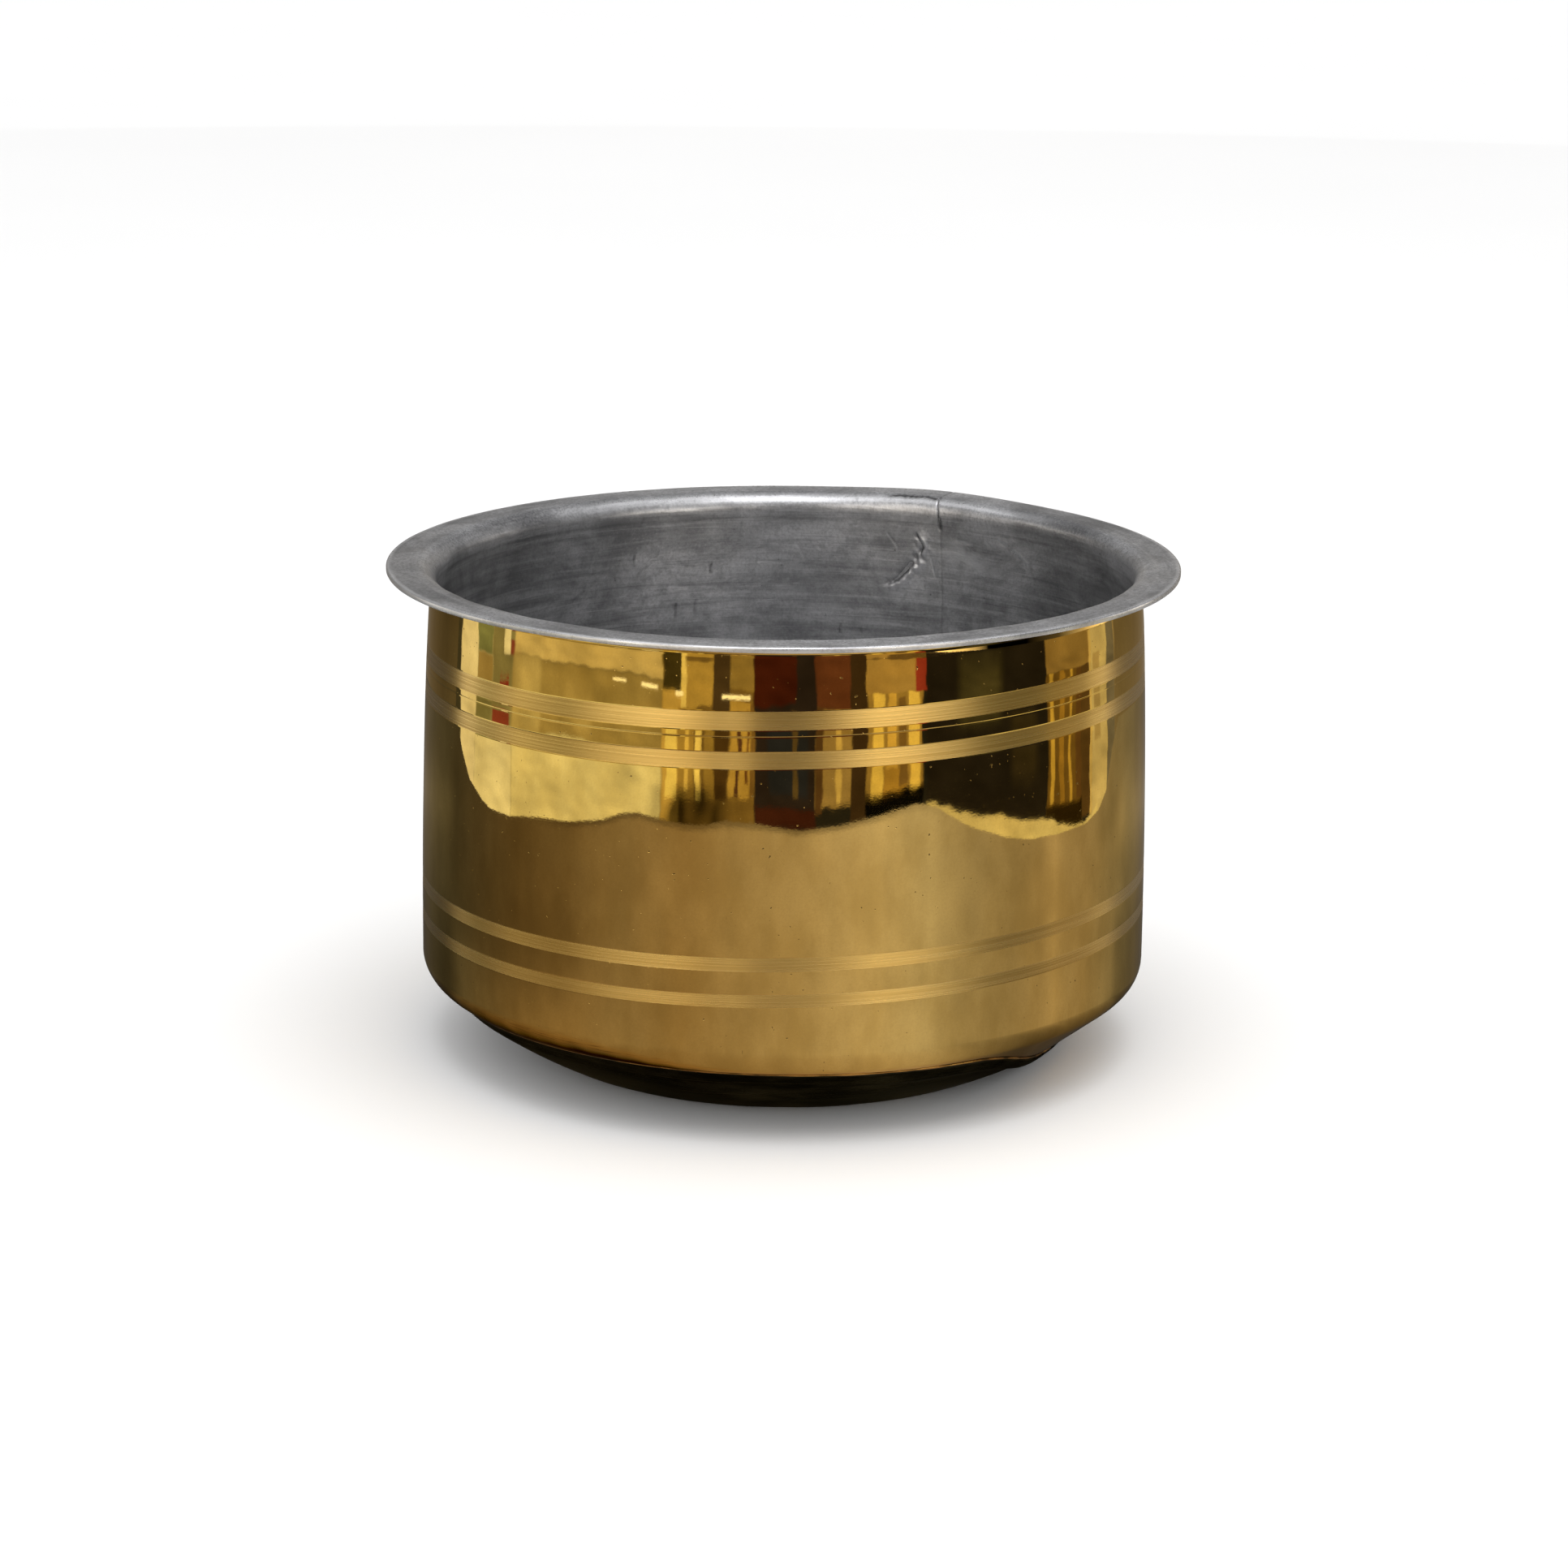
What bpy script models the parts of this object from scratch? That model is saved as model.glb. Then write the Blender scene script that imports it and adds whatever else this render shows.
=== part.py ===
"""Tin-lined brass pot with a flared flat rim, built the way a brazier builds it.

A strip of sheet brass is rolled into a ring, brazed along one upright seam, flanged at the mouth
and turned in at the foot. A dished disc laps the foot from outside and is brazed to it. The inside
and the top of the rim then get one coat of tin. Four shallow bands are turned into the wall.

Metres, +Z up, origin at the centre of the flat base. Every piece is turned about Z from a section,
a closed list of (radius, height) points. The upright seam is the one break in the round.
"""

import math

import bmesh
import bpy
from mathutils import Matrix, Vector

# Driving dimensions
RIM_RADIUS = 0.1150
POT_HEIGHT = 0.1430
SHEET = 0.0012
TIN = 0.00025
GAP = 0.0002

# Wall: widest at the foot, it closes in towards the mouth and a little more under the flange
BELLY_RADIUS = 0.10646
WALL_TAPER = 0.0029
NECK_PINCH = 0.0006
NECK_PINCH_POWER = 12
MID_WALL_Z = 0.0810

# Bend under the flange, corner at the foot and the lip turned in from it
BEND_RADIUS = 0.0032
CORNER_RADIUS = 0.0080
CORNER_TOP_Z = 0.0272
LIP_SLOPE = math.radians(33)
LIP_END_RADIUS = 0.0900

# Turned bands: the height of each band's middle, and its width
BANDS = ((0.1204, 0.0052), (0.1095, 0.0048), (0.0527, 0.0040), (0.0424, 0.0037))
BAND_DEPTH = 0.00015

# Base dish: flat, then a fillet, then a flank that steepens up to the lapped edge
FLAT_RADIUS = 0.0708
BASE_FILLET = 0.0060
FLANK_SLOPE = math.radians(27)
DISH_EDGE_RADIUS = 0.1015
DISH_EDGE_Z = 0.0185

# Brazed joints
SEAM_WIDTH = 0.0020
SEAM_AZIMUTH = math.radians(62)
FILM = 0.0002
BEAD = 0.0008

# Smoothness of the solids
RING_STEPS = 48
BEND_STEPS = 4
CORNER_STEPS = 5
FILLET_STEPS = 3
FLANK_STEPS = 4
SHARP_ANGLE = math.radians(30)

# What follows from the dimensions above
FLANGE_UNDERSIDE_Z = POT_HEIGHT - TIN - GAP - SHEET
FLANGE_EDGE_RADIUS = RIM_RADIUS - TIN - GAP
WALL_TOP_Z = FLANGE_UNDERSIDE_Z - BEND_RADIUS
WALL_HEIGHT = WALL_TOP_Z - CORNER_TOP_Z
LAP_GAP = FILM + 2 * GAP


# ---------------------------------------------------------------- lines in the radius-height plane

def direction(angle):
    """Unit vector at an angle above the radius."""
    return Vector((math.cos(angle), math.sin(angle)))


def arc(centre, radius, start, end, steps):
    """Points along an arc, both ends included."""
    turn = (end - start) / steps
    return [centre + radius * direction(start + turn * i) for i in range(steps + 1)]


def offset(line, distance):
    """The line moved to its right-hand side, seen along its run, with every edge kept parallel."""
    normals = []
    for a, b in zip(line, line[1:]):
        run = (b - a).normalized()
        normals.append(Vector((run.y, -run.x)))
    moved = [line[0] + normals[0] * distance]
    for point, before, after in zip(line[1:], normals, normals[1:]):
        middle = (before + after).normalized()
        moved.append(point + middle * distance / middle.dot(after))
    moved.append(line[-1] + normals[-1] * distance)
    return moved


# ---------------------------------------------------------------- brass wall

def wall_radius(z):
    """Outer radius of the wall at a height between the corner and the bend."""
    rise = (z - CORNER_TOP_Z) / WALL_HEIGHT
    return BELLY_RADIUS - WALL_TAPER * rise**2 - NECK_PINCH * rise**NECK_PINCH_POWER


def wall_line(banded):
    """Points down the wall from the bend to the corner, with a shallow step at each band's edge."""
    line = [Vector((wall_radius(MID_WALL_Z), MID_WALL_Z))]
    for middle, width in BANDS:
        top = middle + width / 2
        foot = middle - width / 2
        line.append(Vector((wall_radius(foot), foot)))
        if banded:
            line.append(Vector((wall_radius(top), top)))
            for z in (top - BAND_DEPTH, foot + BAND_DEPTH):
                line.append(Vector((wall_radius(z) - BAND_DEPTH, z)))
    return sorted(line, key=lambda point: -point.y)


def bend_line():
    """Underside of the flange from its edge inwards, and the bend down to the leaning wall."""
    closing = 2 * WALL_TAPER + NECK_PINCH_POWER * NECK_PINCH
    lean = math.atan(closing / WALL_HEIGHT)
    foot_z = WALL_TOP_Z - BEND_RADIUS * math.sin(lean)
    centre = Vector((wall_radius(foot_z) + BEND_RADIUS * math.cos(lean), WALL_TOP_Z))
    edge = Vector((FLANGE_EDGE_RADIUS, FLANGE_UNDERSIDE_Z))
    return [edge] + arc(centre, BEND_RADIUS, math.pi / 2, math.pi + lean, BEND_STEPS)


def corner_line():
    """Corner of the wall and its turned-in lip, from the foot of the wall inwards."""
    centre = Vector((BELLY_RADIUS - CORNER_RADIUS, CORNER_TOP_Z))
    corner = arc(centre, CORNER_RADIUS, 0, LIP_SLOPE - math.pi / 2, CORNER_STEPS)
    run = corner[-1].x - LIP_END_RADIUS
    return corner + [corner[-1] - run * Vector((1, math.tan(LIP_SLOPE)))]


def outer_line(banded):
    """Outer face of the brass wall from the rim's edge to the end of its lip."""
    return bend_line() + wall_line(banded) + corner_line()


def wall_section():
    """Brass wall with its flange, bands, corner and turned-in lip."""
    return outer_line(banded=True) + offset(outer_line(banded=False), SHEET)[::-1]


# ---------------------------------------------------------------- lap, base dish and braze

def past_lip(beyond, above):
    """A point past the end of the wall's lip, at a height above the lip's outer face."""
    along = direction(LIP_SLOPE)
    across = direction(LIP_SLOPE + math.pi / 2)
    return corner_line()[-1] - along * beyond + across * above


def lap_line(below):
    """Two points under the lip, at a depth below it: at the dish's edge and at the lip's end."""
    end = past_lip(0, -below)
    reach = (DISH_EDGE_RADIUS - end.x) / math.cos(LIP_SLOPE)
    return [past_lip(-reach, -below), end]


def dish_outer_line():
    """Outer face of the base dish from its lapped edge to the middle of the flat base."""
    centre = Vector((FLAT_RADIUS, BASE_FILLET))
    fillet = arc(centre, BASE_FILLET, FLANK_SLOPE - math.pi / 2, -math.pi / 2, FILLET_STEPS)
    foot = fillet[0]
    run = DISH_EDGE_RADIUS - foot.x
    rise = DISH_EDGE_Z - foot.y
    steepening = rise - run * math.tan(FLANK_SLOPE)
    flank = []
    for i in range(FLANK_STEPS, 0, -1):
        t = i / FLANK_STEPS
        climb = run * math.tan(FLANK_SLOPE) * t + steepening * t**2
        flank.append(foot + Vector((run * t, climb)))
    return flank + fillet + [Vector((0, 0))]


def dish_inner_line():
    """Inner face of the base dish: along the lap, then one sheet above its outer face."""
    inner = offset(dish_outer_line(), SHEET)
    inner[-1].x = 0
    return lap_line(LAP_GAP) + [p for p in inner if p.x < LIP_END_RADIUS - 2 * SHEET]


def base_dish_section():
    """Base dish, which thins towards its lapped edge."""
    return dish_inner_line()[::-1] + dish_outer_line()


def base_braze_section():
    """Film of braze in the lap, with a bead outside the dish's edge."""
    near_lip = lap_line(GAP)
    near_dish = lap_line(GAP + FILM)
    along = direction(LIP_SLOPE)
    bead = [near_dish[0] + along * GAP, near_lip[0] + along * BEAD]
    return bead + [near_lip[1] + along * GAP, near_dish[1] + along * GAP]


# ---------------------------------------------------------------- tin

def tin_face(lift, fillet):
    """A face of the tin, at a height above the brass, with a fillet where it leaves the lip."""
    wall = offset(outer_line(banded=False), SHEET + lift)
    wall[0].x = FLANGE_EDGE_RADIUS + lift
    wall[-1] = past_lip(lift, SHEET + lift)
    foot = past_lip(lift + fillet, lift - LAP_GAP)
    dish = [p for p in offset(dish_inner_line(), lift) if p.x < foot.x - SHEET]
    dish[-1].x = 0
    return wall + [foot] + dish


def tin_section():
    """Tin coat over the rim's edge, the flange, the inside of the wall and the base."""
    back = tin_face(GAP, 0)
    front = tin_face(GAP + TIN, SHEET)
    hem_z = FLANGE_UNDERSIDE_Z + GAP
    hem = [Vector((front[0].x, hem_z)), Vector((back[0].x, hem_z))]
    return front[::-1] + hem + back


# ---------------------------------------------------------------- solids

def add_object(name, bm):
    """An object in the scene from a bmesh, which is freed."""
    mesh = bpy.data.meshes.new(name)
    bm.to_mesh(mesh)
    bm.free()
    obj = bpy.data.objects.new(name, mesh)
    bpy.context.scene.collection.objects.link(obj)
    return obj


def turned(name, section, material):
    """A solid of revolution about Z. A section that starts and ends on the axis closes there."""
    bm = bmesh.new()
    ring = [bm.verts.new((p.x, 0, p.y)) for p in section]
    pairs = list(zip(ring, ring[1:]))
    if section[0].x > 0:
        pairs.append((ring[-1], ring[0]))
    edges = [bm.edges.new(pair) for pair in pairs]
    bmesh.ops.spin(
        bm, geom=ring + edges, cent=(0, 0, 0), axis=(0, 0, 1),
        angle=math.tau, steps=RING_STEPS, use_merge=True,
    )
    bmesh.ops.remove_doubles(bm, verts=bm.verts, dist=GAP / 20)
    bmesh.ops.recalc_face_normals(bm, faces=bm.faces)
    obj = add_object(name, bm)
    obj.data.shade_smooth()
    obj.data.set_sharp_from_angle(angle=SHARP_ANGLE)
    obj.data.materials.append(material)
    return obj


def seam_slab(name, width):
    """Upright slab on the seam, deeper than the wall and taller than the pot."""
    depth = RIM_RADIUS - LIP_END_RADIUS + 4 * SHEET
    bm = bmesh.new()
    bmesh.ops.create_cube(bm, size=1, matrix=Matrix.Diagonal((depth, width, 2 * POT_HEIGHT, 1)))
    slab = add_object(name, bm)
    middle = (RIM_RADIUS + LIP_END_RADIUS) / 2
    slab.location.xy = middle * direction(SEAM_AZIMUTH)
    slab.rotation_euler.z = SEAM_AZIMUTH
    slab.hide_render = True
    slab.display_type = "WIRE"
    return slab


def cut(obj, cutter, operation):
    """Boolean of a solid with a cutter."""
    modifier = obj.modifiers.new(operation.lower(), "BOOLEAN")
    modifier.operation = operation
    modifier.object = cutter


def metal(name, colour, roughness):
    """Principled metal of one colour."""
    material = bpy.data.materials.new(name)
    material.use_nodes = True
    shader = material.node_tree.nodes["Principled BSDF"]
    shader.inputs["Base Color"].default_value = (*colour, 1)
    shader.inputs["Roughness"].default_value = roughness
    shader.inputs["Metallic"].default_value = 1
    material.diffuse_color = (*colour, 1)
    return material


def build():
    for obj in list(bpy.data.objects):
        bpy.data.objects.remove(obj)

    polished_brass = metal("polished_brass", (0.80, 0.55, 0.18), 0.08)
    dark_brass = metal("heat_darkened_brass", (0.22, 0.15, 0.07), 0.45)
    seam_braze = metal("seam_braze", (0.72, 0.50, 0.20), 0.25)
    lap_braze = metal("lap_braze", (0.62, 0.40, 0.15), 0.40)
    tin = metal("tin", (0.42, 0.42, 0.43), 0.42)

    wall = turned("wall_shell", wall_section(), polished_brass)
    cut(wall, seam_slab("seam_slit", SEAM_WIDTH), "DIFFERENCE")

    filler = turned("wall_seam_braze", wall_section(), seam_braze)
    cut(filler, seam_slab("seam_filler", SEAM_WIDTH - 2 * GAP), "INTERSECT")

    turned("base_dish", base_dish_section(), dark_brass)
    turned("base_seam_braze", base_braze_section(), lap_braze)
    turned("tin_lining", tin_section(), tin)


build()
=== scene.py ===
"""Looks of the tin-lined brass pot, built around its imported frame.

Every piece is turned about Z from a section, a list of (radius, height) points in metres, and then
worked by hand: wavy polish, lathe-cut bands on slightly leaning planes, an uneven lapped foot, and
a wiped tin coat with its crack, gouge and scuffs. Azimuth phi runs from +X towards +Y on the pot.
On the stage, azimuths are degrees right of the camera.
"""

import math

import bmesh
import bpy
import numpy as np
from mathutils import Matrix, Vector


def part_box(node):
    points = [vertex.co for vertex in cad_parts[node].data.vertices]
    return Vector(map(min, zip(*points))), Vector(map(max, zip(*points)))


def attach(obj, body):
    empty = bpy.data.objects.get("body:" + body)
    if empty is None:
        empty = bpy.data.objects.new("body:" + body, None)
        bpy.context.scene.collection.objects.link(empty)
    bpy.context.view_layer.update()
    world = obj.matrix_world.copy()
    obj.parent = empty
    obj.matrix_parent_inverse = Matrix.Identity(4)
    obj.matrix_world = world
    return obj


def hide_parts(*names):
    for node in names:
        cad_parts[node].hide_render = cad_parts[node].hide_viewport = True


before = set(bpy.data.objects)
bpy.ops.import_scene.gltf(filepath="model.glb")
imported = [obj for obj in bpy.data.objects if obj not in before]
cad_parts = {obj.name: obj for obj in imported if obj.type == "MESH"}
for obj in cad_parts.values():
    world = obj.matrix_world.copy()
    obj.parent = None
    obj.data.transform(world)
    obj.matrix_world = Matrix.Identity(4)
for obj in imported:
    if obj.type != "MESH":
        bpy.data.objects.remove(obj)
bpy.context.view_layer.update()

# ---------------------------------------------------------------- dimensions, metres
RIM_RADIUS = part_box("tin_lining")[1].x
POT_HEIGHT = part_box("tin_lining")[1].z
FLANGE_EDGE_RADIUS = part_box("wall_shell")[1].x
FLANGE_UNDERSIDE_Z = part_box("wall_shell")[1].z - 0.0012
SHEET = 0.0012
COAT = 0.00045
RIM_ROUND = 0.0006
BELLY_RADIUS = 0.10646
WALL_TAPER = 0.0029
NECK_PINCH = 0.0006
NECK_PINCH_POWER = 12
BEND_RADIUS = 0.0032
WALL_TOP_Z = FLANGE_UNDERSIDE_Z - BEND_RADIUS
CORNER_RADIUS = 0.0080
CORNER_TOP_Z = 0.0272
WALL_HEIGHT = WALL_TOP_Z - CORNER_TOP_Z
LIP_SLOPE = math.radians(33)
LIP_END_RADIUS = 0.0900
FLAT_RADIUS = 0.0708
BASE_FILLET = 0.0060
FLANK_SLOPE = math.radians(27)
DISH_EDGE_RADIUS = 0.1015
DISH_EDGE_Z = 0.0185
SEAM_AZIMUTH = math.radians(62)
SEAM_HALF = 0.00095
SEAM_GAP = 0.00004
SEAM_PROUD = 0.00005
ROW_PITCH = 0.0012
FOOT_ROWS = 30

# Radius at which distances round the pot are measured, for lathe marks and the paths in the tin
R0 = 0.106

# Turned bands (middle, width), and the hairline the lathe left between the upper pair and the wall
BANDS = ((0.1204, 0.0052), (0.1095, 0.0048), (0.0527, 0.0040), (0.0424, 0.0037))
BAND_DEPTH = 0.00002
HAIRLINE_Z = 0.1160
BAND_LEAN = 0.0235

# The base dish's lapped edge: its radius, and how much further in it was trimmed on the right
LAP_RADIUS = 0.1013
LAP_TRIM = 0.0160

# How much further up the wall the painted shade near the foot reaches on the left
SHADE_RISE = 0.0052

# Film of braze between the wall's lip and the dish, and the dish's thickness measured upright
LAP_FILM = 0.00008
DISH_THICKNESS = SHEET / 0.95

# How far the flange was knocked to the left, how it tilts, and how high it was bent by the seam
RIM_SHIFT = 0.0008
RIM_TILT = 0.0035
RIM_LIFT = 0.0009

TAU = math.tau


# ---------------------------------------------------------------- lines in the radius-height plane

def wall_radius(z):
    rise = (z - CORNER_TOP_Z) / WALL_HEIGHT
    return BELLY_RADIUS - WALL_TAPER * rise**2 - NECK_PINCH * np.clip(rise, 0, 2)**NECK_PINCH_POWER


def arc(centre, radius, start, end, steps):
    turn = np.linspace(start, end, steps + 1)
    return np.stack([centre[0] + radius * np.cos(turn), centre[1] + radius * np.sin(turn)], 1)


def offset(line, distance):
    """The line moved to its right-hand side, with every edge kept parallel."""
    run = np.diff(line, axis=0)
    run /= np.linalg.norm(run, axis=1, keepdims=True)
    normal = np.stack([run[:, 1], -run[:, 0]], 1)
    before = np.vstack([normal[:1], normal])
    after = np.vstack([normal, normal[-1:]])
    middle = before + after
    middle /= np.linalg.norm(middle, axis=1, keepdims=True)
    return line + middle * distance / (middle * after).sum(1, keepdims=True)


def along(line):
    """Length run along a line at each of its points."""
    return np.concatenate([[0], np.cumsum(np.linalg.norm(np.diff(line, axis=0), axis=1))])


def resample(line, pitch):
    """The same line with a point at least every pitch."""
    out = [line[0]]
    for a, b in zip(line, line[1:]):
        n = max(1, math.ceil(np.linalg.norm(b - a) / pitch))
        out += [a + (b - a) * (i + 1) / n for i in range(n)]
    return np.array(out)


def bend_line(steps):
    closing = 2 * WALL_TAPER + NECK_PINCH_POWER * NECK_PINCH
    lean = math.atan(closing / WALL_HEIGHT)
    foot_z = WALL_TOP_Z - BEND_RADIUS * math.sin(lean)
    centre = (float(wall_radius(foot_z)) + BEND_RADIUS * math.cos(lean), WALL_TOP_Z)
    edge = np.array([[FLANGE_EDGE_RADIUS, FLANGE_UNDERSIDE_Z]])
    curve = arc(centre, BEND_RADIUS, math.pi / 2, math.pi + lean, steps)
    return np.vstack([resample(np.vstack([edge, curve[:1]]), ROW_PITCH)[:-1], curve])


def corner_line(steps):
    centre = (BELLY_RADIUS - CORNER_RADIUS, CORNER_TOP_Z)
    curve = arc(centre, CORNER_RADIUS, 0, LIP_SLOPE - math.pi / 2, steps)
    run = curve[-1][0] - LIP_END_RADIUS
    end = curve[-1] - run * np.array([1, math.tan(LIP_SLOPE)])
    return np.vstack([curve, resample(np.vstack([curve[-1:], end[None]]), ROW_PITCH)[1:]])


def wall_heights(pitch, band_pitch):
    """Heights down the wall between the bend and the corner, close together across each band."""
    heights = list(np.arange(CORNER_TOP_Z + pitch, WALL_TOP_Z - 0.0009, pitch))
    for middle, width in BANDS:
        reach = width / 2 + 0.0004
        heights = [z for z in heights if abs(z - middle) > reach + pitch / 3]
        heights += list(np.arange(middle - reach, middle + reach + 1e-6, band_pitch))
    near = 0.0006
    heights = [z for z in heights if abs(z - HAIRLINE_Z) > near + pitch / 3]
    heights += list(np.linspace(HAIRLINE_Z - near, HAIRLINE_Z + near, 13))
    return np.array(sorted(heights, reverse=True))


def dish_outer_line():
    """Outer face of the base dish from its lapped edge to the middle."""
    centre = (FLAT_RADIUS, BASE_FILLET)
    fillet = arc(centre, BASE_FILLET, FLANK_SLOPE - math.pi / 2, -math.pi / 2, 10)
    foot = fillet[0]
    run = DISH_EDGE_RADIUS - foot[0]
    rise = DISH_EDGE_Z - foot[1]
    steepening = rise - run * math.tan(FLANK_SLOPE)
    t = np.linspace(1, 0, 40)
    flank = foot + np.stack([run * t, run * math.tan(FLANK_SLOPE) * t + steepening * t**2], 1)
    flat = np.stack([np.linspace(FLAT_RADIUS, 0.0006, 48), np.zeros(48)], 1)
    return np.vstack([flank[:-1], fillet, flat[1:]])


# ---------------------------------------------------------------- hand-made unevenness

def ease(low, high, value):
    """0 below low, 1 above high, smooth between."""
    t = np.clip((np.asarray(value, float) - low) / (high - low), 0, 1)
    return t * t * (3 - 2 * t)


def waves(phi, s, seed, length, count=14):
    """A smooth field of about -1 to 1 over azimuth and height, seamless round the pot."""
    draw = np.random.default_rng(seed)
    field = np.zeros(np.broadcast(phi, s).shape)
    around = TAU * 0.106 / length
    for _ in range(count):
        turns = round(draw.uniform(0, around))
        rise = draw.uniform(-1, 1) * TAU / length
        field = field + np.sin(turns * phi + rise * s + draw.uniform(0, TAU))
    return field / math.sqrt(count)


def patchy(phi, s, seed, length, level, swing, count=14):
    """A share of 0 to 1 that wanders by the swing about the level."""
    return np.clip(level + swing * waves(phi, s, seed, length, count), 0, 1)


def lean_of(z):
    """Share of the band planes' lean taken at a height."""
    return ease(CORNER_TOP_Z, 0.0395, z) * (1 - ease(0.1245, 0.1365, z))


def lean_foot(x, r, z):
    """The foot was beaten lower on the right."""
    return z - 0.0055 * np.maximum(x, 0) * ease(0.0715, 0.0840, r) * ease(0.0330, 0.0240, z)


def lip_slope(phi):
    return LIP_SLOPE + math.radians(5) * ease(-0.3, 0.9, np.cos(phi))


def foot_surface(d, phi):
    """Outer face of the wall at a distance d past the top of its corner, and its outward normal."""
    turn = math.pi / 2 - lip_slope(phi)
    theta = np.minimum(d / CORNER_RADIUS, turn)
    past = np.maximum(d - CORNER_RADIUS * turn, 0)
    normal_r, normal_z = np.cos(theta), -np.sin(theta)
    r = BELLY_RADIUS - CORNER_RADIUS + CORNER_RADIUS * normal_r - past * np.sin(turn)
    z = CORNER_TOP_Z + CORNER_RADIUS * normal_z - past * np.cos(turn)
    return r, z, normal_r, normal_z


def proud_of_foot(d, phi, lift):
    """Radius and height of points raised square off the foot's outer face."""
    r, z, normal_r, normal_z = foot_surface(d, phi)
    return r + normal_r * lift, z + normal_z * lift


def foot_distance(r, phi):
    """Distance past the top of the corner at which the wall's outer face has a radius."""
    turn = math.pi / 2 - lip_slope(phi)
    hub = BELLY_RADIUS - CORNER_RADIUS
    line_r = hub + CORNER_RADIUS * np.cos(turn)
    on_arc = CORNER_RADIUS * np.arccos(np.clip((r - hub) / CORNER_RADIUS, -1, 1))
    return np.where(r > line_r, on_arc, CORNER_RADIUS * turn + (line_r - r) / np.sin(turn))


def lap_edge_radius(phi):
    """Radius of the dish's lapped edge."""
    trimmed = LAP_TRIM * ease(0.52, 0.93, np.cos(phi))
    return LAP_RADIUS - trimmed + 0.0003 * waves(phi, 0.0, 21, 0.05, 8)


def lip_end(phi):
    """Radius at which the wall's lip ends under the dish."""
    return np.minimum(LIP_END_RADIUS, lap_edge_radius(phi) - 0.0012)


def lip_height(r):
    """Height of the outer face of the wall's lip at a radius, before the foot was beaten."""
    bend = LIP_SLOPE - math.pi / 2
    top_r = BELLY_RADIUS - CORNER_RADIUS + CORNER_RADIUS * math.cos(bend)
    top_z = CORNER_TOP_Z + CORNER_RADIUS * math.sin(bend)
    return top_z - (top_r - r) * math.tan(LIP_SLOPE)


def turned(r, phi, z):
    """Points at a radius, azimuth and height, row by row."""
    return np.stack([r * np.cos(phi), r * np.sin(phi), z], -1).reshape(-1, 3)


def across(column, count):
    """One value per row, repeated over the columns."""
    return np.repeat(column[:, None], count, 1)


def rim_shape(r, phi, z):
    """Points of a ring, with the flange knocked a little out of true."""
    share = ease(0.1372, 0.1416, z)
    x, y = r * np.cos(phi), r * np.sin(phi)
    turn = (np.asarray(phi) - SEAM_AZIMUTH + math.pi) % TAU - math.pi
    lift = RIM_LIFT * np.exp(-((turn - 0.05) / 0.22)**2) + RIM_TILT * x
    return np.stack(np.broadcast_arrays(x - RIM_SHIFT * share, y, z + lift * share), -1).reshape(-1, 3)


# ---------------------------------------------------------------- meshes

def add_mesh(name, verts, faces, materials, attributes, material_index=None, sharp=35):
    """A mesh object from numpy points, with point attributes and materials."""
    mesh = bpy.data.meshes.new(name)
    mesh.from_pydata(verts.tolist(), [], faces)
    for material in materials:
        mesh.materials.append(material)
    for key, values in attributes.items():
        kind = "FLOAT_VECTOR" if values.ndim == 2 else "FLOAT"
        layer = mesh.attributes.new(key, kind, "POINT")
        field = "vector" if values.ndim == 2 else "value"
        layer.data.foreach_set(field, values.astype(np.float32).ravel())
    if material_index is not None:
        mesh.polygons.foreach_set("material_index", np.asarray(material_index, np.int32))
    mesh.validate()
    bm = bmesh.new()
    bm.from_mesh(mesh)
    bmesh.ops.recalc_face_normals(bm, faces=bm.faces)
    bm.to_mesh(mesh)
    bm.free()
    mesh.shade_smooth()
    mesh.set_sharp_from_angle(angle=math.radians(sharp))
    obj = bpy.data.objects.new(name, mesh)
    bpy.context.scene.collection.objects.link(obj)
    return obj


def grid_faces(rows, columns, closed, base=0):
    """Quads between neighbouring rows and columns. Points are numbered row by row."""
    faces = []
    last = columns if closed else columns - 1
    for i in range(rows - 1):
        for j in range(last):
            k = (j + 1) % columns
            a = base + i * columns
            faces.append((a + j, a + k, a + columns + k, a + columns + j))
    return faces


def bowl_faces(rows, rows_back, columns):
    """Faces of a closed double skin: two round grids, the band between their first rows, and a fan
    from the last row of each to its own middle point, which comes after both grids."""
    base = rows * columns
    middle = base + rows_back * columns
    faces = grid_faces(rows, columns, True) + grid_faces(rows_back, columns, True, base)
    for j in range(columns):
        k = (j + 1) % columns
        a, b = base - columns, middle - columns
        faces += [(j, k, base + k, base + j), (a + j, a + k, middle), (b + j, b + k, middle + 1)]
    return faces


def piece(obj, node):
    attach(obj, "root")
    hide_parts(node)


# ---------------------------------------------------------------- materials

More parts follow.
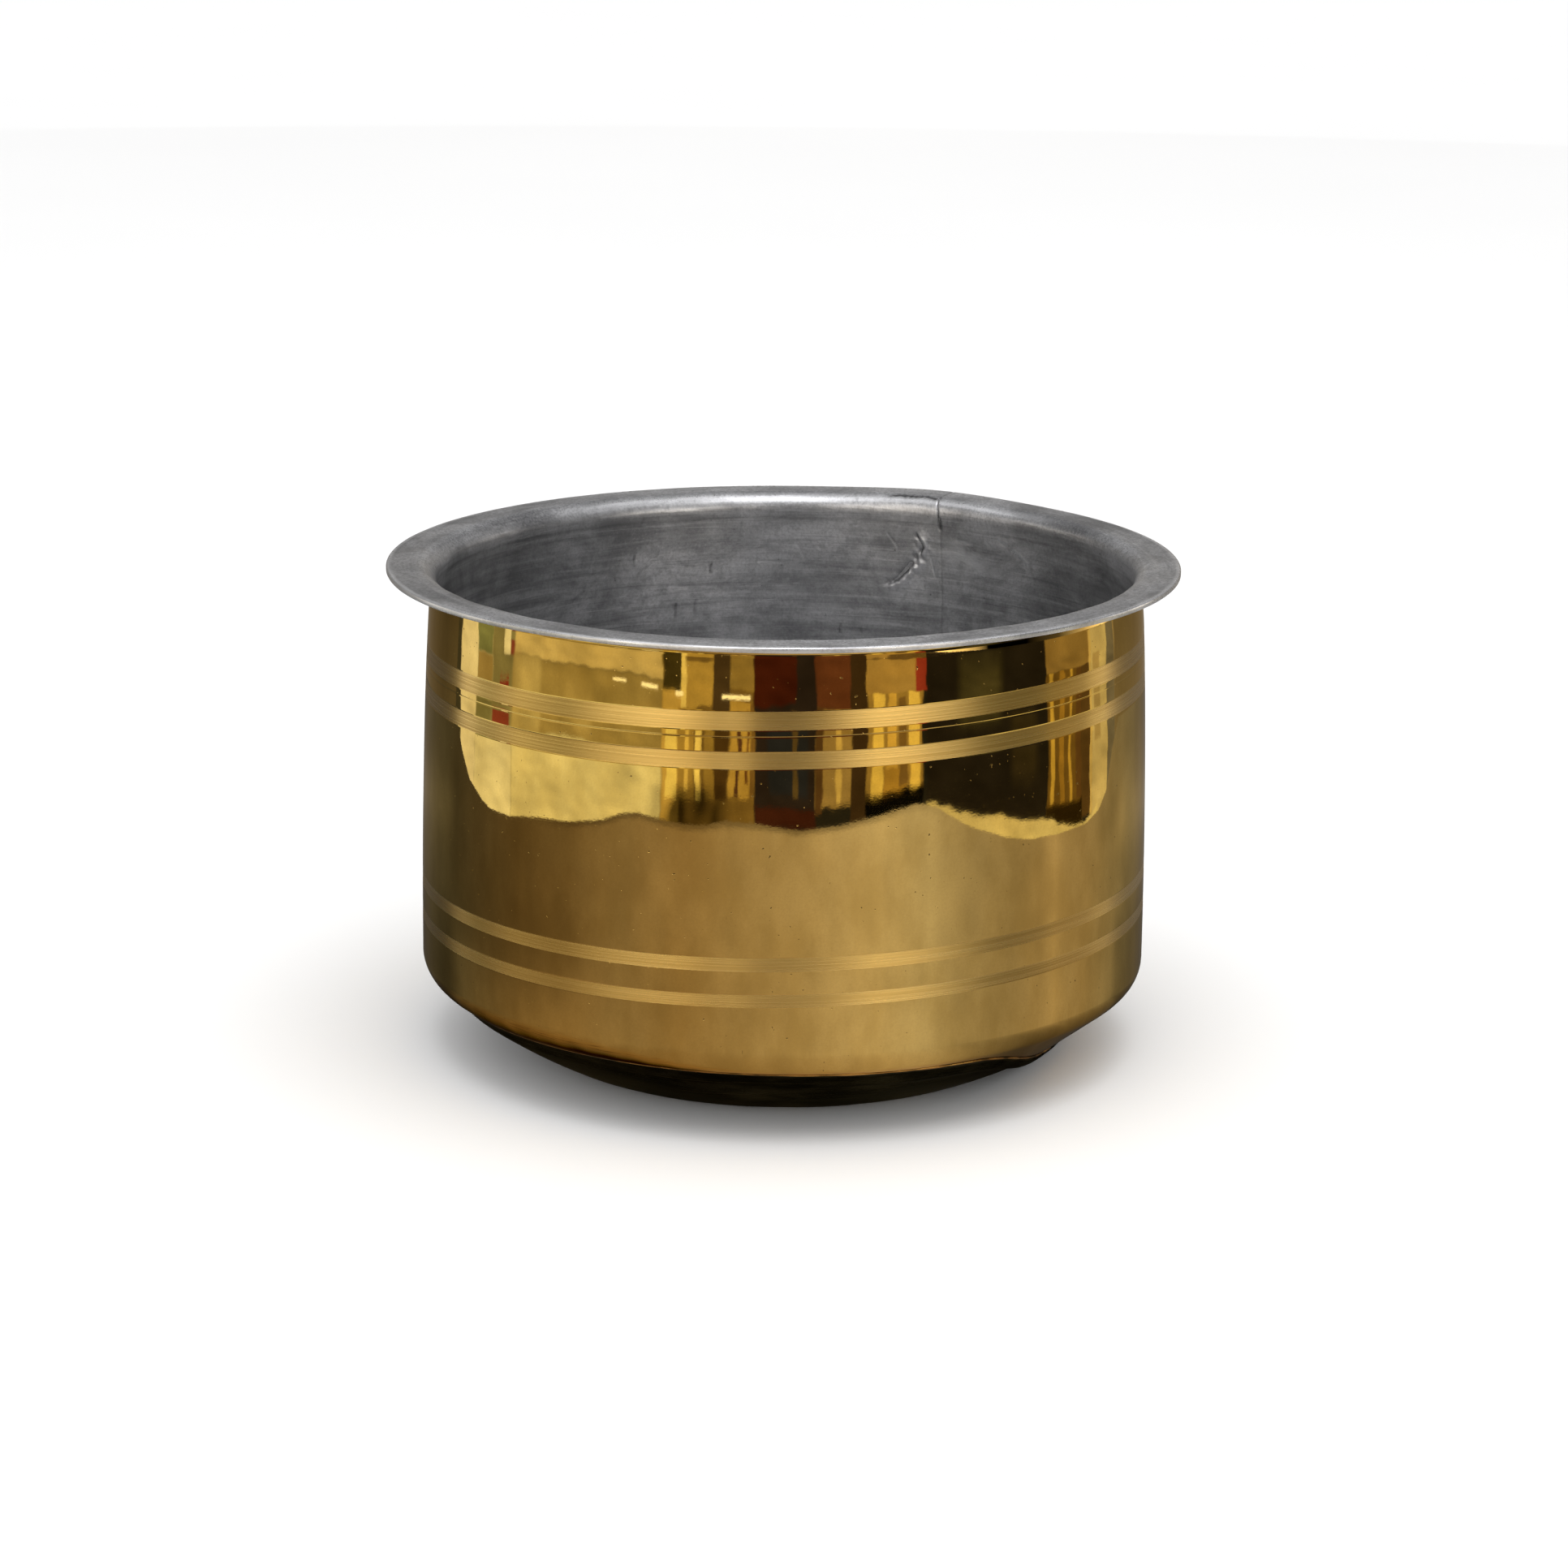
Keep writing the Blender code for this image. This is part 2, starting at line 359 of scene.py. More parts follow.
class Nodes:
    """Short calls for building one material's node tree."""

    def __init__(self, name):
        self.material = bpy.data.materials.new(name)
        self.material.use_nodes = True
        self.tree = self.material.node_tree
        self.shader = self.tree.nodes["Principled BSDF"]

    def add(self, kind, **settings):
        node = self.tree.nodes.new(kind)
        for key, value in settings.items():
            setattr(node, key, value)
        return node

    def put(self, socket, value):
        if isinstance(value, bpy.types.NodeSocket):
            self.tree.links.new(value, socket)
        elif isinstance(value, tuple) and len(value) == 3 and socket.type == "RGBA":
            socket.default_value = (*value, 1)
        else:
            socket.default_value = value

    def attribute(self, name, output="Vector"):
        return self.add("ShaderNodeAttribute", attribute_name=name).outputs[output]

    def scaled(self, vector, scale):
        node = self.add("ShaderNodeMapping")
        self.put(node.inputs["Vector"], vector)
        node.inputs["Scale"].default_value = scale
        return node.outputs["Vector"]

    def noise(self, vector, scale, detail=2.0, rough=0.5, distortion=0.0):
        node = self.add("ShaderNodeTexNoise")
        self.put(node.inputs["Vector"], vector)
        node.inputs["Scale"].default_value = scale
        node.inputs["Detail"].default_value = detail
        node.inputs["Roughness"].default_value = rough
        node.inputs["Distortion"].default_value = distortion
        return node.outputs["Fac"]

    def math(self, operation, a, b=0.0, clamp=False):
        node = self.add("ShaderNodeMath", operation=operation, use_clamp=clamp)
        self.put(node.inputs[0], a)
        self.put(node.inputs[1], b)
        return node.outputs[0]

    def times(self, a, b, clamp=False):
        return self.math("MULTIPLY", a, b, clamp)

    def remap(self, value, low, high, out_low=0.0, out_high=1.0):
        node = self.add("ShaderNodeMapRange", interpolation_type="SMOOTHSTEP")
        self.put(node.inputs["Value"], value)
        for key, number in (("From Min", low), ("From Max", high),
                            ("To Min", out_low), ("To Max", out_high)):
            node.inputs[key].default_value = number
        return node.outputs["Result"]

    def mix(self, factor, a, b):
        node = self.add("ShaderNodeMix", data_type="RGBA")
        self.put(node.inputs["Factor"], factor)
        self.put(node.inputs[6], a)
        self.put(node.inputs[7], b)
        return node.outputs[2]

    def along_section(self, vector):
        node = self.add("ShaderNodeSeparateXYZ")
        self.put(node.inputs[0], vector)
        return node.outputs["Z"]

    def coats(self, colour, *coats):
        """The colour with tints laid over it in turn, each by its share."""
        for share, tint in coats:
            colour = self.mix(share, colour, tint)
        return colour

    def bump(self, height, distance, normal=None):
        node = self.add("ShaderNodeBump")
        node.inputs["Distance"].default_value = distance
        self.put(node.inputs["Height"], height)
        if normal is not None:
            self.put(node.inputs["Normal"], normal)
        return node.outputs["Normal"]

    def brush_round(self):
        """Turns the shader's brushing so that it runs round the pot."""
        tangent = self.add("ShaderNodeTangent", direction_type="RADIAL", axis="Z")
        self.tree.links.new(tangent.outputs["Tangent"], self.shader.inputs["Tangent"])

    def finish(self, **inputs):
        for key, value in inputs.items():
            self.put(self.shader.inputs[key.replace("_", " ")], value)
        return self.material


def polished_brass():
    n = Nodes("brass_polished")
    lathe = n.attribute("lathe")
    foot_shade = n.attribute("foot_shade", "Fac")
    scrape = n.attribute("scrape", "Fac")
    fine = n.noise(n.scaled(lathe, (55, 55, 5200)), 1.0, 3.0, 0.6)
    grain = n.noise(lathe, 1700, 2.0, 0.65)
    patina = n.noise(n.scaled(lathe, (70, 70, 40)), 1.0, 5.0, 0.65)
    pits = n.noise(lathe, 900, 1.0, 0.5)
    pit = n.remap(pits, 0.765, 0.81)
    colour = n.mix(n.remap(patina, 0.32, 0.68), (0.74, 0.490, 0.138), (0.89, 0.61, 0.190))
    colour = n.coats(
        colour,
        (n.remap(grain, 0.35, 0.75, 0.0, 0.22), (0.60, 0.40, 0.13)),
        (n.times(n.remap(fine, 0.55, 0.8), 0.20), (0.62, 0.42, 0.14)),
        (n.times(pit, 0.8), (0.10, 0.06, 0.02)))
    shade_mottle = n.noise(n.scaled(lathe, (25, 25, 400)), 1.0, 4.0, 0.6)
    colour = n.mix(n.times(scrape, 0.75), colour, (0.78, 0.43, 0.08))
    scratch = n.noise(n.scaled(lathe, (110, 110, 3600)), 1.0, 3.0, 0.65)
    scraped = n.times(scrape, n.remap(scratch, 0.52, 0.66), clamp=True)
    colour = n.mix(n.times(scraped, 0.7), colour, (0.22, 0.10, 0.02))
    # painted shade near the foot: where the wall's shade attribute is high, the colour turns near black,
    # the gloss tint darkens and the roughness rises
    foot_shaded = n.times(foot_shade, n.remap(shade_mottle, 0.25, 0.6, 0.8, 1.0), clamp=True)
    dark = n.mix(n.remap(shade_mottle, 0.4, 0.7), (0.035, 0.023, 0.010), (0.080, 0.050, 0.018))
    colour = n.mix(foot_shaded, colour, dark)
    worn = n.math("ADD", n.times(foot_shaded, 0.33), n.times(scraped, 0.20))
    ripple = n.noise(lathe, 380, 2.0, 0.5)
    rough = n.math("ADD", n.remap(fine, 0.35, 0.8, 0.012, 0.034), worn)
    normal = n.bump(grain, 0.0000007)
    normal = n.bump(ripple, 0.0000016, normal)
    normal = n.bump(fine, 0.0000001, normal)
    normal = n.bump(n.math("SUBTRACT", 1.0, pit), 0.00003, normal)
    edge_tint = n.mix(foot_shaded, (0.92, 0.84, 0.66), (0.30, 0.22, 0.12))
    return n.finish(Base_Color=colour, Metallic=1.0, Roughness=rough, Normal=normal,
                    Specular_Tint=edge_tint)


def satin_brass():
    n = Nodes("brass_turned_band")
    lathe = n.attribute("lathe")
    lines = n.noise(n.scaled(lathe, (9, 9, 5200)), 1.0, 3.0, 0.7)
    broken = n.noise(n.scaled(lathe, (140, 140, 3800)), 1.0, 2.0, 0.6)
    colour = n.mix(n.remap(lines, 0.34, 0.66), (0.68, 0.44, 0.12), (0.95, 0.67, 0.23))
    colour = n.mix(n.times(n.remap(broken, 0.6, 0.75), 0.20), colour, (0.60, 0.38, 0.10))
    rough = n.remap(lines, 0.3, 0.7, 0.325, 0.26)
    normal = n.bump(lines, 0.0000025)
    n.brush_round()
    return n.finish(Base_Color=colour, Metallic=1.0, Roughness=rough, Normal=normal,
                    Anisotropic=0.9, Anisotropic_Rotation=0.25)


def seam_brass():
    n = Nodes("braze_upright")
    lathe = n.attribute("lathe")
    streak = n.noise(n.scaled(lathe, (300, 300, 900)), 1.0, 3.0, 0.6)
    colour = n.mix(n.remap(streak, 0.35, 0.7), (0.70, 0.47, 0.17), (0.80, 0.60, 0.28))
    rough = n.remap(streak, 0.3, 0.7, 0.20, 0.34)
    normal = n.bump(streak, 0.00002)
    return n.finish(Base_Color=colour, Metallic=1.0, Roughness=rough, Normal=normal)


def lap_brass():
    n = Nodes("braze_lap")
    lathe = n.attribute("lathe")
    scratch = n.noise(n.scaled(lathe, (90, 90, 4200)), 1.0, 3.0, 0.6)
    patch = n.noise(n.scaled(lathe, (60, 60, 60)), 1.0, 3.0, 0.6)
    colour = n.mix(n.remap(scratch, 0.35, 0.7), (0.42, 0.20, 0.05), (0.85, 0.52, 0.14))
    colour = n.mix(n.remap(patch, 0.5, 0.62, 0.0, 0.9), colour, (0.10, 0.06, 0.025))
    rough = n.remap(scratch, 0.3, 0.7, 0.40, 0.26)
    normal = n.bump(scratch, 0.00004)
    return n.finish(Base_Color=colour, Metallic=1.0, Roughness=rough, Normal=normal)


def painted_shade_base_brass():
    # The dish is coloured near black: painted shade, standing for the shaded table that its underside
    # mirrors. The rings and grit are marks of its own.
    n = Nodes("brass_base_painted_shade")
    lathe = n.attribute("lathe")
    blotch = n.noise(n.scaled(lathe, (45, 45, 80)), 1.0, 5.0, 0.62)
    rings = n.noise(n.scaled(lathe, (22, 22, 2200)), 1.0, 3.0, 0.6)
    grit = n.noise(lathe, 900, 3.0, 0.65)
    colour = n.mix(n.remap(blotch, 0.3, 0.7), (0.024, 0.023, 0.016), (0.058, 0.053, 0.034))
    colour = n.coats(
        colour,
        (n.times(n.remap(rings, 0.52, 0.74), 0.5), (0.115, 0.098, 0.055)),
        (n.remap(grit, 0.62, 0.75, 0.0, 0.5), (0.020, 0.013, 0.006)))
    rough = n.remap(blotch, 0.3, 0.7, 0.38, 0.52)
    normal = n.bump(grit, 0.00003)
    normal = n.bump(rings, 0.00002, normal)
    return n.finish(Base_Color=colour, Metallic=1.0, Roughness=rough, Normal=normal,
                    Specular_Tint=(0.24, 0.24, 0.19, 1))


def wiped_tin():
    n = Nodes("tin_wiped")
    lathe = n.attribute("lathe")
    dark_marks_and_shade = n.attribute("dark", "Fac")
    bright_marks_and_highlights = n.attribute("bright", "Fac")
    wipe = n.noise(n.scaled(lathe, (14, 14, 300)), 1.0, 5.0, 0.65, 0.6)
    lines = n.noise(n.scaled(lathe, (40, 40, 2600)), 1.0, 3.0, 0.65, 0.3)
    cloud = n.noise(n.scaled(lathe, (34, 34, 55)), 1.0, 6.0, 0.62, 0.7)
    grain = n.noise(lathe, 1150, 3.0, 0.75)
    mottle = n.noise(lathe, 260, 4.0, 0.65)
    speck = n.remap(n.noise(lathe, 520, 2.0, 0.6), 0.72, 0.78)
    flange = n.remap(n.along_section(lathe), 0.0125, 0.0185, 1.0, 0.0)
    speckled = n.math("ADD", n.times(flange, 0.6), 0.4)
    streaked = n.math("SUBTRACT", 1.0, n.times(flange, 0.6))
    colour = n.mix(n.remap(cloud, 0.32, 0.70), (0.27, 0.27, 0.275), (0.62, 0.62, 0.63))
    colour = n.coats(
        colour,
        (n.times(streaked, n.remap(wipe, 0.47, 0.68, 0.0, 0.62)), (0.74, 0.74, 0.75)),
        (n.times(streaked, n.remap(wipe, 0.47, 0.32, 0.0, 0.42)), (0.13, 0.13, 0.135)),
        (n.times(streaked, n.remap(lines, 0.54, 0.72, 0.0, 0.28)), (0.12, 0.12, 0.125)),
        (n.remap(mottle, 0.48, 0.66, 0.0, 0.30), (0.22, 0.22, 0.225)),
        (n.times(speckled, n.remap(grain, 0.36, 0.55, 0.55, 0.0)), (0.12, 0.12, 0.125)),
        (n.times(speckled, n.remap(grain, 0.56, 0.72, 0.0, 0.45)), (0.85, 0.85, 0.86)),
        (n.times(speck, 0.6), (0.10, 0.10, 0.10)),
        # the dark attribute holds real marks together with painted shade, the bright one real rubs together
        # with painted highlights
        (dark_marks_and_shade, (0.030, 0.030, 0.030)),
        (bright_marks_and_highlights, (0.90, 0.90, 0.91)))
    rough = n.math("ADD", n.remap(wipe, 0.3, 0.7, 0.44, 0.34), n.remap(grain, 0.3, 0.7, -0.05, 0.05))
    rough = n.math("SUBTRACT", rough, n.times(bright_marks_and_highlights, 0.12))
    normal = n.bump(wipe, 0.00010)
    normal = n.bump(cloud, 0.00030, normal)
    normal = n.bump(lines, 0.000008, normal)
    normal = n.bump(grain, 0.000016, normal)
    n.brush_round()
    return n.finish(Base_Color=colour, Metallic=0.85, Roughness=rough, Normal=normal,
                    Anisotropic=0.6, Anisotropic_Rotation=0.25)


# ---------------------------------------------------------------- brass wall

def lathe_coordinates(phi, s, r=R0):
    """Coordinates that run once round the pot and along the section, for lathe marks."""
    phi, s, r = np.broadcast_arrays(phi, s, np.minimum(r, R0))
    return turned(r, phi, s)


def band_cut(z):
    """Depth cut below the wall at a height, and which band it is in (0 if none)."""
    draw = np.random.default_rng(11)
    depth = np.zeros_like(z)
    inside = np.zeros_like(z, dtype=bool)
    for middle, width in BANDS:
        edge = np.abs(z - middle) - width / 2
        step = 1 - ease(-0.00010, 0.00006, edge)
        pitch = draw.uniform(0.00055, 0.00065)
        groove = 0.5 + 0.5 * np.cos(TAU * (z - middle) / pitch)
        strength = 0.6 + 0.4 * np.sin(z * 9100 + draw.uniform(0, TAU))
        depth += step * (BAND_DEPTH + 0.000005 * groove * strength)
        inside |= edge < 0
    depth += 0.00002 * np.exp(-((z - HAIRLINE_Z) / 0.00014)**2)
    return depth, inside


def wall_rows():
    """Rows of the wall's outer face down to the corner, and which of them are in a band."""
    bend = bend_line(14)
    heights = wall_heights(0.0008, 0.00015)
    cut, inside = band_cut(heights)
    straight = np.stack([wall_radius(heights) - cut, heights], 1)
    line = np.vstack([bend, straight])
    in_band = np.concatenate([np.zeros(len(bend), bool), inside, np.zeros(FOOT_ROWS, bool)])
    return line, in_band


def foot_rows(phi, count=FOOT_ROWS):
    """Rows of the corner and lip at each azimuth: radius, height and distance past the corner's top."""
    share = np.linspace(0, 1, count)[:, None]
    d = share * foot_distance(lip_end(phi), phi)
    r, z, _, _ = foot_surface(d, phi)
    return r, lean_foot(r * np.cos(phi), r, z), d


def seam_half(z):
    """Half width of the upright seam, a little uneven above the corner."""
    return SEAM_HALF + 0.00022 * np.sin(z * 700) * np.sin(z * 310 + 1.0) * ease(0.0275, 0.0400, z)


def build_wall(materials):
    line, in_band = wall_rows()
    smooth = np.vstack([bend_line(6), np.stack([wall_radius(h := wall_heights(0.004, 0.01)), h], 1),
                        corner_line(8)])
    smooth = smooth[np.argsort(-along_key(smooth))]
    inner = offset(smooth, SHEET)
    inner[0][0] = FLANGE_EDGE_RADIUS
    columns = 481
    t = np.linspace(0, 1, columns)[None, :]

    def ring(points, worked):
        r, z = across(points[:, 0], columns), across(points[:, 1], columns)
        half = (seam_half(z) + SEAM_GAP) / r
        phi = SEAM_AZIMUTH + half + t * (TAU - 2 * half)
        if worked:
            body = ease(0.150, 0.134, z) * ease(0.0215, 0.0290, z)
            r = r + body * (0.000022 * waves(phi, z, 3, 0.055) + 0.000006 * waves(phi, z, 4, 0.022))
        return phi, r, z + BAND_LEAN * r * np.cos(phi) * lean_of(z)

    phi, rr, zz = ring(line, True)
    s = across(along(line), columns)
    half = (SEAM_HALF + SEAM_GAP) / BELLY_RADIUS
    phi_f = np.repeat(SEAM_AZIMUTH + half + t * (TAU - 2 * half), FOOT_ROWS, 0)
    rf, zf, df = foot_rows(phi_f[:1])
    phi, rr, zz = np.vstack([phi, phi_f]), np.vstack([rr, rf]), np.vstack([zz, zf])
    s = np.vstack([s, s[-1:] + df])
    outer = rim_shape(rr, phi, zz)
    lathe = lathe_coordinates(phi, s)

    # painted shade from the dish's edge upwards, widest on the left, with a scraped line along its foot
    ragged = 0.0005 * waves(phi, zz, 8, 0.030) + 0.0003 * waves(phi, zz, 9, 0.008)
    to_edge = foot_distance(lap_edge_radius(phi[-1:]), phi[-1:])
    above = to_edge - (s - s[len(line) - 1:len(line)]) + ragged
    above = above - SHADE_RISE * ease(-0.05, -0.55, np.cos(phi))
    blur = 0.0005 + 0.0024 * ease(0.02, -0.08, rr * np.cos(phi))
    foot_shade = (1 - ease(-blur, blur * 1.2, above)).ravel()
    scrape = (ease(-0.0004, 0.0004, above) * ease(0.0042, 0.0016, above)).ravel()

    phi_i, rr_i, zz_i = ring(inner, False)
    back = rim_shape(rr_i, phi_i, zz_i)
    lathe = np.vstack([lathe, lathe_coordinates(phi_i, across(along(inner), columns))])
    foot_shade, scrape = (np.concatenate([values, np.zeros(len(back))]) for values in (foot_shade, scrape))

    rows, rows_i = len(rr), len(inner)
    base = rows * columns
    faces = grid_faces(rows, columns, False)
    index = []
    for i in range(rows - 1):
        index += [1 if in_band[i] and in_band[i + 1] else 0] * (columns - 1)
    faces += [f[::-1] for f in grid_faces(rows_i, columns, False, base)]
    index += [0] * ((rows_i - 1) * (columns - 1))
    for j in range(columns - 1):
        faces.append((j, base + j, base + j + 1, j + 1))
        a = (rows - 1) * columns + j
        b = base + (rows_i - 1) * columns + j
        faces.append((a, a + 1, b + 1, b))
        index += [0, 0]
    for j in (0, columns - 1):
        ring_out = [i * columns + j for i in range(rows)]
        ring_in = [base + i * columns + j for i in range(rows_i)]
        section = np.stack([rr[:, j], zz[:, j]], 1)
        faces += cap(ring_out, ring_in, section, inner)
        index += [0] * (len(faces) - len(index))
    attributes = {"lathe": lathe, "foot_shade": foot_shade, "scrape": scrape}
    obj = add_mesh("wall_polished_shell", np.vstack([outer, back]), faces, materials, attributes, index)
    piece(obj, "wall_shell")


def along_key(points):
    """Order down the wall for points of a section: the flange first, then by height, then the lip."""
    return np.where(points[:, 1] > WALL_TOP_Z, 1 + points[:, 0], points[:, 1])


def cap(outer_ids, inner_ids, outer, inner):
    """Faces closing the end of a slit ring, between its outer and inner lines."""
    share_o, share_i = (along(line) / along(line)[-1] for line in (outer, inner))
    faces = []
    a = b = 0
    while a < len(outer_ids) - 1 or b < len(inner_ids) - 1:
        step_out = b == len(inner_ids) - 1 or (
            a < len(outer_ids) - 1 and share_o[a + 1] <= share_i[b + 1])
        if step_out:
            faces.append((outer_ids[a], outer_ids[a + 1], inner_ids[b]))
            a += 1
        else:
            faces.append((outer_ids[a], inner_ids[b + 1], inner_ids[b]))
            b += 1
    return faces


def build_seam(material):
    """Braze filling the slit: a narrow strip that follows the wall's section, slightly proud."""
    line, _ = wall_rows()
    foot_r, foot_z, _ = foot_rows(np.array([[SEAM_AZIMUTH]]))
    line = np.vstack([line, np.hstack([foot_r, foot_z])])
    keep = [0]
    for i in range(1, len(line)):
        if np.linalg.norm(line[i] - line[keep[-1]]) > 0.00045 or i == len(line) - 1:
            keep.append(i)
    line = line[keep]
    inner = offset(line, SHEET)
    inner[0][0] = FLANGE_EDGE_RADIUS
    columns = 7
    t = np.linspace(-1, 1, columns)[None, :]

    def ring(points, lift):
        r, z = points[:, :1], points[:, 1:]
        phi = SEAM_AZIMUTH + t * (seam_half(z) - SEAM_GAP) / r
        r = r + lift * (1 - t**2) * ease(0.142, 0.136, z) * ease(0.0120, 0.0200, z)
        return phi, rim_shape(r, phi, z + BAND_LEAN * r * np.cos(phi) * lean_of(z))

    phi, outer = ring(line, SEAM_PROUD)
    _, back = ring(inner, 0)
    rows = len(line)
    base = rows * columns
    faces = grid_faces(rows, columns, False)
    faces += [f[::-1] for f in grid_faces(rows, columns, False, base)]
    for j in range(columns - 1):
        faces.append((j, base + j, base + j + 1, j + 1))
        a = (rows - 1) * columns + j
        faces.append((a, a + 1, base + a + 1, base + a))
    for j in (0, columns - 1):
        for i in range(rows - 1):
            a = i * columns + j
            faces.append((a, a + columns, base + a + columns, base + a))
    lathe = np.vstack([lathe_coordinates(phi, across(along(line), columns))] * 2)
    obj = add_mesh("upright_seam_braze", np.vstack([outer, back]), faces, [material], {"lathe": lathe})
    piece(obj, "wall_seam_braze")


# ---------------------------------------------------------------- base

def dish_height(r):
    """Height of the outer face of the base dish at a radius, before the foot was beaten."""
    outline = dish_outer_line()[::-1]
    return np.interp(r, outline[:, 0], outline[:, 1])


def lap_hem(phi):
    """How far the dish's edge stands proud of the wall: planished away on the left."""
    return 0.00032 + 0.00040 * ease(0.3, 0.8, np.cos(phi)) - 0.00026 * ease(0.1, -0.7, np.cos(phi))


def build_base(material):
    columns = 480
    phi = np.linspace(0, TAU, columns, endpoint=False)[None, :]
    d_edge = foot_distance(lap_edge_radius(phi), phi)
    d_end = foot_distance(np.minimum(0.0925, lap_edge_radius(phi) - 0.0070), phi)
    hem = lap_hem(phi)
    rows_r, rows_z, rows_s = [], [], []
    for share in np.concatenate([np.linspace(0, 0.10, 5)[:-1], np.linspace(0.10, 1, 26)]):
        inset = (d_end - d_edge) * share
        lift = LAP_FILM + hem * ease(-0.00035, 0.00030, inset) + (0.00135 - hem) * ease(0, 0.0100, inset)
        r, z = proud_of_foot(d_edge + inset, phi, lift)
        blend = ease(0.35, 1.0, share)
        z = z * (1 - blend) + dish_height(r) * blend
        rows_r.append(r)
        rows_z.append(z)
        rows_s.append(0.25 + inset)
    last_r, last_s = rows_r[-1], rows_s[-1]
    for share in np.concatenate([np.linspace(0, 0.30, 26)[1:], np.linspace(0.32, 1, 50)]):
        r = last_r + (0.0006 - last_r) * share
        rows_r.append(r)
        rows_z.append(dish_height(r))
        rows_s.append(last_s + last_r - r)
    r, z, s = np.vstack(rows_r), np.vstack(rows_z), np.vstack(rows_s)
    phis = np.repeat(phi, len(r), 0)
    z = lean_foot(r * np.cos(phis), r, z)
    z = z + 0.00010 * waves(phis, r, 31, 0.028) * ease(0.0705, 0.0760, r) * ease(0.1000, 0.0960, r)

    inner_r, inner_z = [], []
    under = np.minimum(LIP_END_RADIUS, lap_edge_radius(phi) - 0.0030)
    d_lip = foot_distance(under, phi)
    for share in np.linspace(0, 1, 12):
        rr, zz = proud_of_foot(d_edge + (d_lip - d_edge) * share, phi, LAP_FILM)
        inner_r.append(rr)
        inner_z.append(zz)
    for share in np.linspace(0, 1, 30):
        rr = under - 0.0015 + (0.0021 - under) * share
        inner_r.append(rr)
        inner_z.append(dish_height(rr) + DISH_THICKNESS)
    ri, zi = np.vstack(inner_r), np.vstack(inner_z)
    phi_i = np.repeat(phi, len(ri), 0)
    zi = lean_foot(ri * np.cos(phi_i), ri, zi)

    middle = [[0, 0, 0], [0, 0, DISH_THICKNESS]]
    verts = np.vstack([turned(r, phis, z), turned(ri, phi_i, zi), middle])
    lathe = np.vstack([lathe_coordinates(phis, s, r), lathe_coordinates(phi_i, ri, ri),
                       lathe_coordinates(np.zeros(2), np.full(2, 0.35), 0)])
    faces = bowl_faces(len(r), len(ri), columns)
    obj = add_mesh("base_dished_disc", verts, faces, [material], {"lathe": lathe})
    piece(obj, "base_dish")


def build_lap_bead(material):
    """The scraped line of braze along the dish's edge."""
    columns = 720
    phi = np.linspace(0, TAU, columns, endpoint=False)[None, :]
    lump = 1 + 0.30 * waves(phi, 0.0, 41, 0.012, 10) + 0.15 * waves(phi, 0.0, 42, 0.004, 10)
    height = np.minimum(0.00026, 0.5 * lap_hem(phi)) * np.clip(lump, 0.5, 1.5)
    width = 0.00045 * np.clip(lump, 0.6, 1.5)
    d_edge = foot_distance(lap_edge_radius(phi), phi) - 0.00006
    rows_r, rows_z, rows_s = [], [], []
    section = [(1 - math.cos(a), math.sin(a)) for a in np.linspace(0, math.pi / 2, 7)]
    for share, rise in section + [(1.0, 0.0), (0.5, 0.0)]:
        r, z = proud_of_foot(d_edge - width * (1 - share), phi, 0.00003 + height * rise)
        rows_r.append(r)
        rows_z.append(z)
        rows_s.append(width * share + 0.0003 * rise)
    rr, zz, s = np.vstack(rows_r), np.vstack(rows_z), np.vstack(rows_s)
    phis = np.repeat(phi, len(rr), 0)
    zz = lean_foot(rr * np.cos(phis), rr, zz)
    faces = grid_faces(len(rr), columns, True)
    last = (len(rr) - 1) * columns
    for j in range(columns):
        k = (j + 1) % columns
        faces.append((last + j, last + k, k, j))
    obj = add_mesh("lap_braze_bead", turned(rr, phis, zz), faces, [material],
                   {"lathe": lathe_coordinates(phis, s)}, sharp=80)
    piece(obj, "base_seam_braze")


# ---------------------------------------------------------------- tin coat

def near_path(phi, z, path, width):
    """How near points of the inside are to a path of (azimuth in degrees, height in mm): 1 on it,
    fading over the width. Also the distance to one side of it."""
    x = R0 * phi
    best, side = np.full(phi.shape, np.inf), np.zeros(phi.shape)
    points = [(R0 * math.radians(a), h / 1000) for a, h in path]
    for (x0, z0), (x1, z1) in zip(points, points[1:]):
        dx, dz = x1 - x0, z1 - z0
        size = dx * dx + dz * dz
        t = np.clip(((x - x0) * dx + (z - z0) * dz) / size, 0, 1)
        px, pz = x - x0 - t * dx, z - z0 - t * dz
        d = np.hypot(px, pz)
        side = np.where(d < best, (px * dz - pz * dx) / math.sqrt(size), side)
        best = np.minimum(best, d)
    return np.exp(-(best / width)**2), side


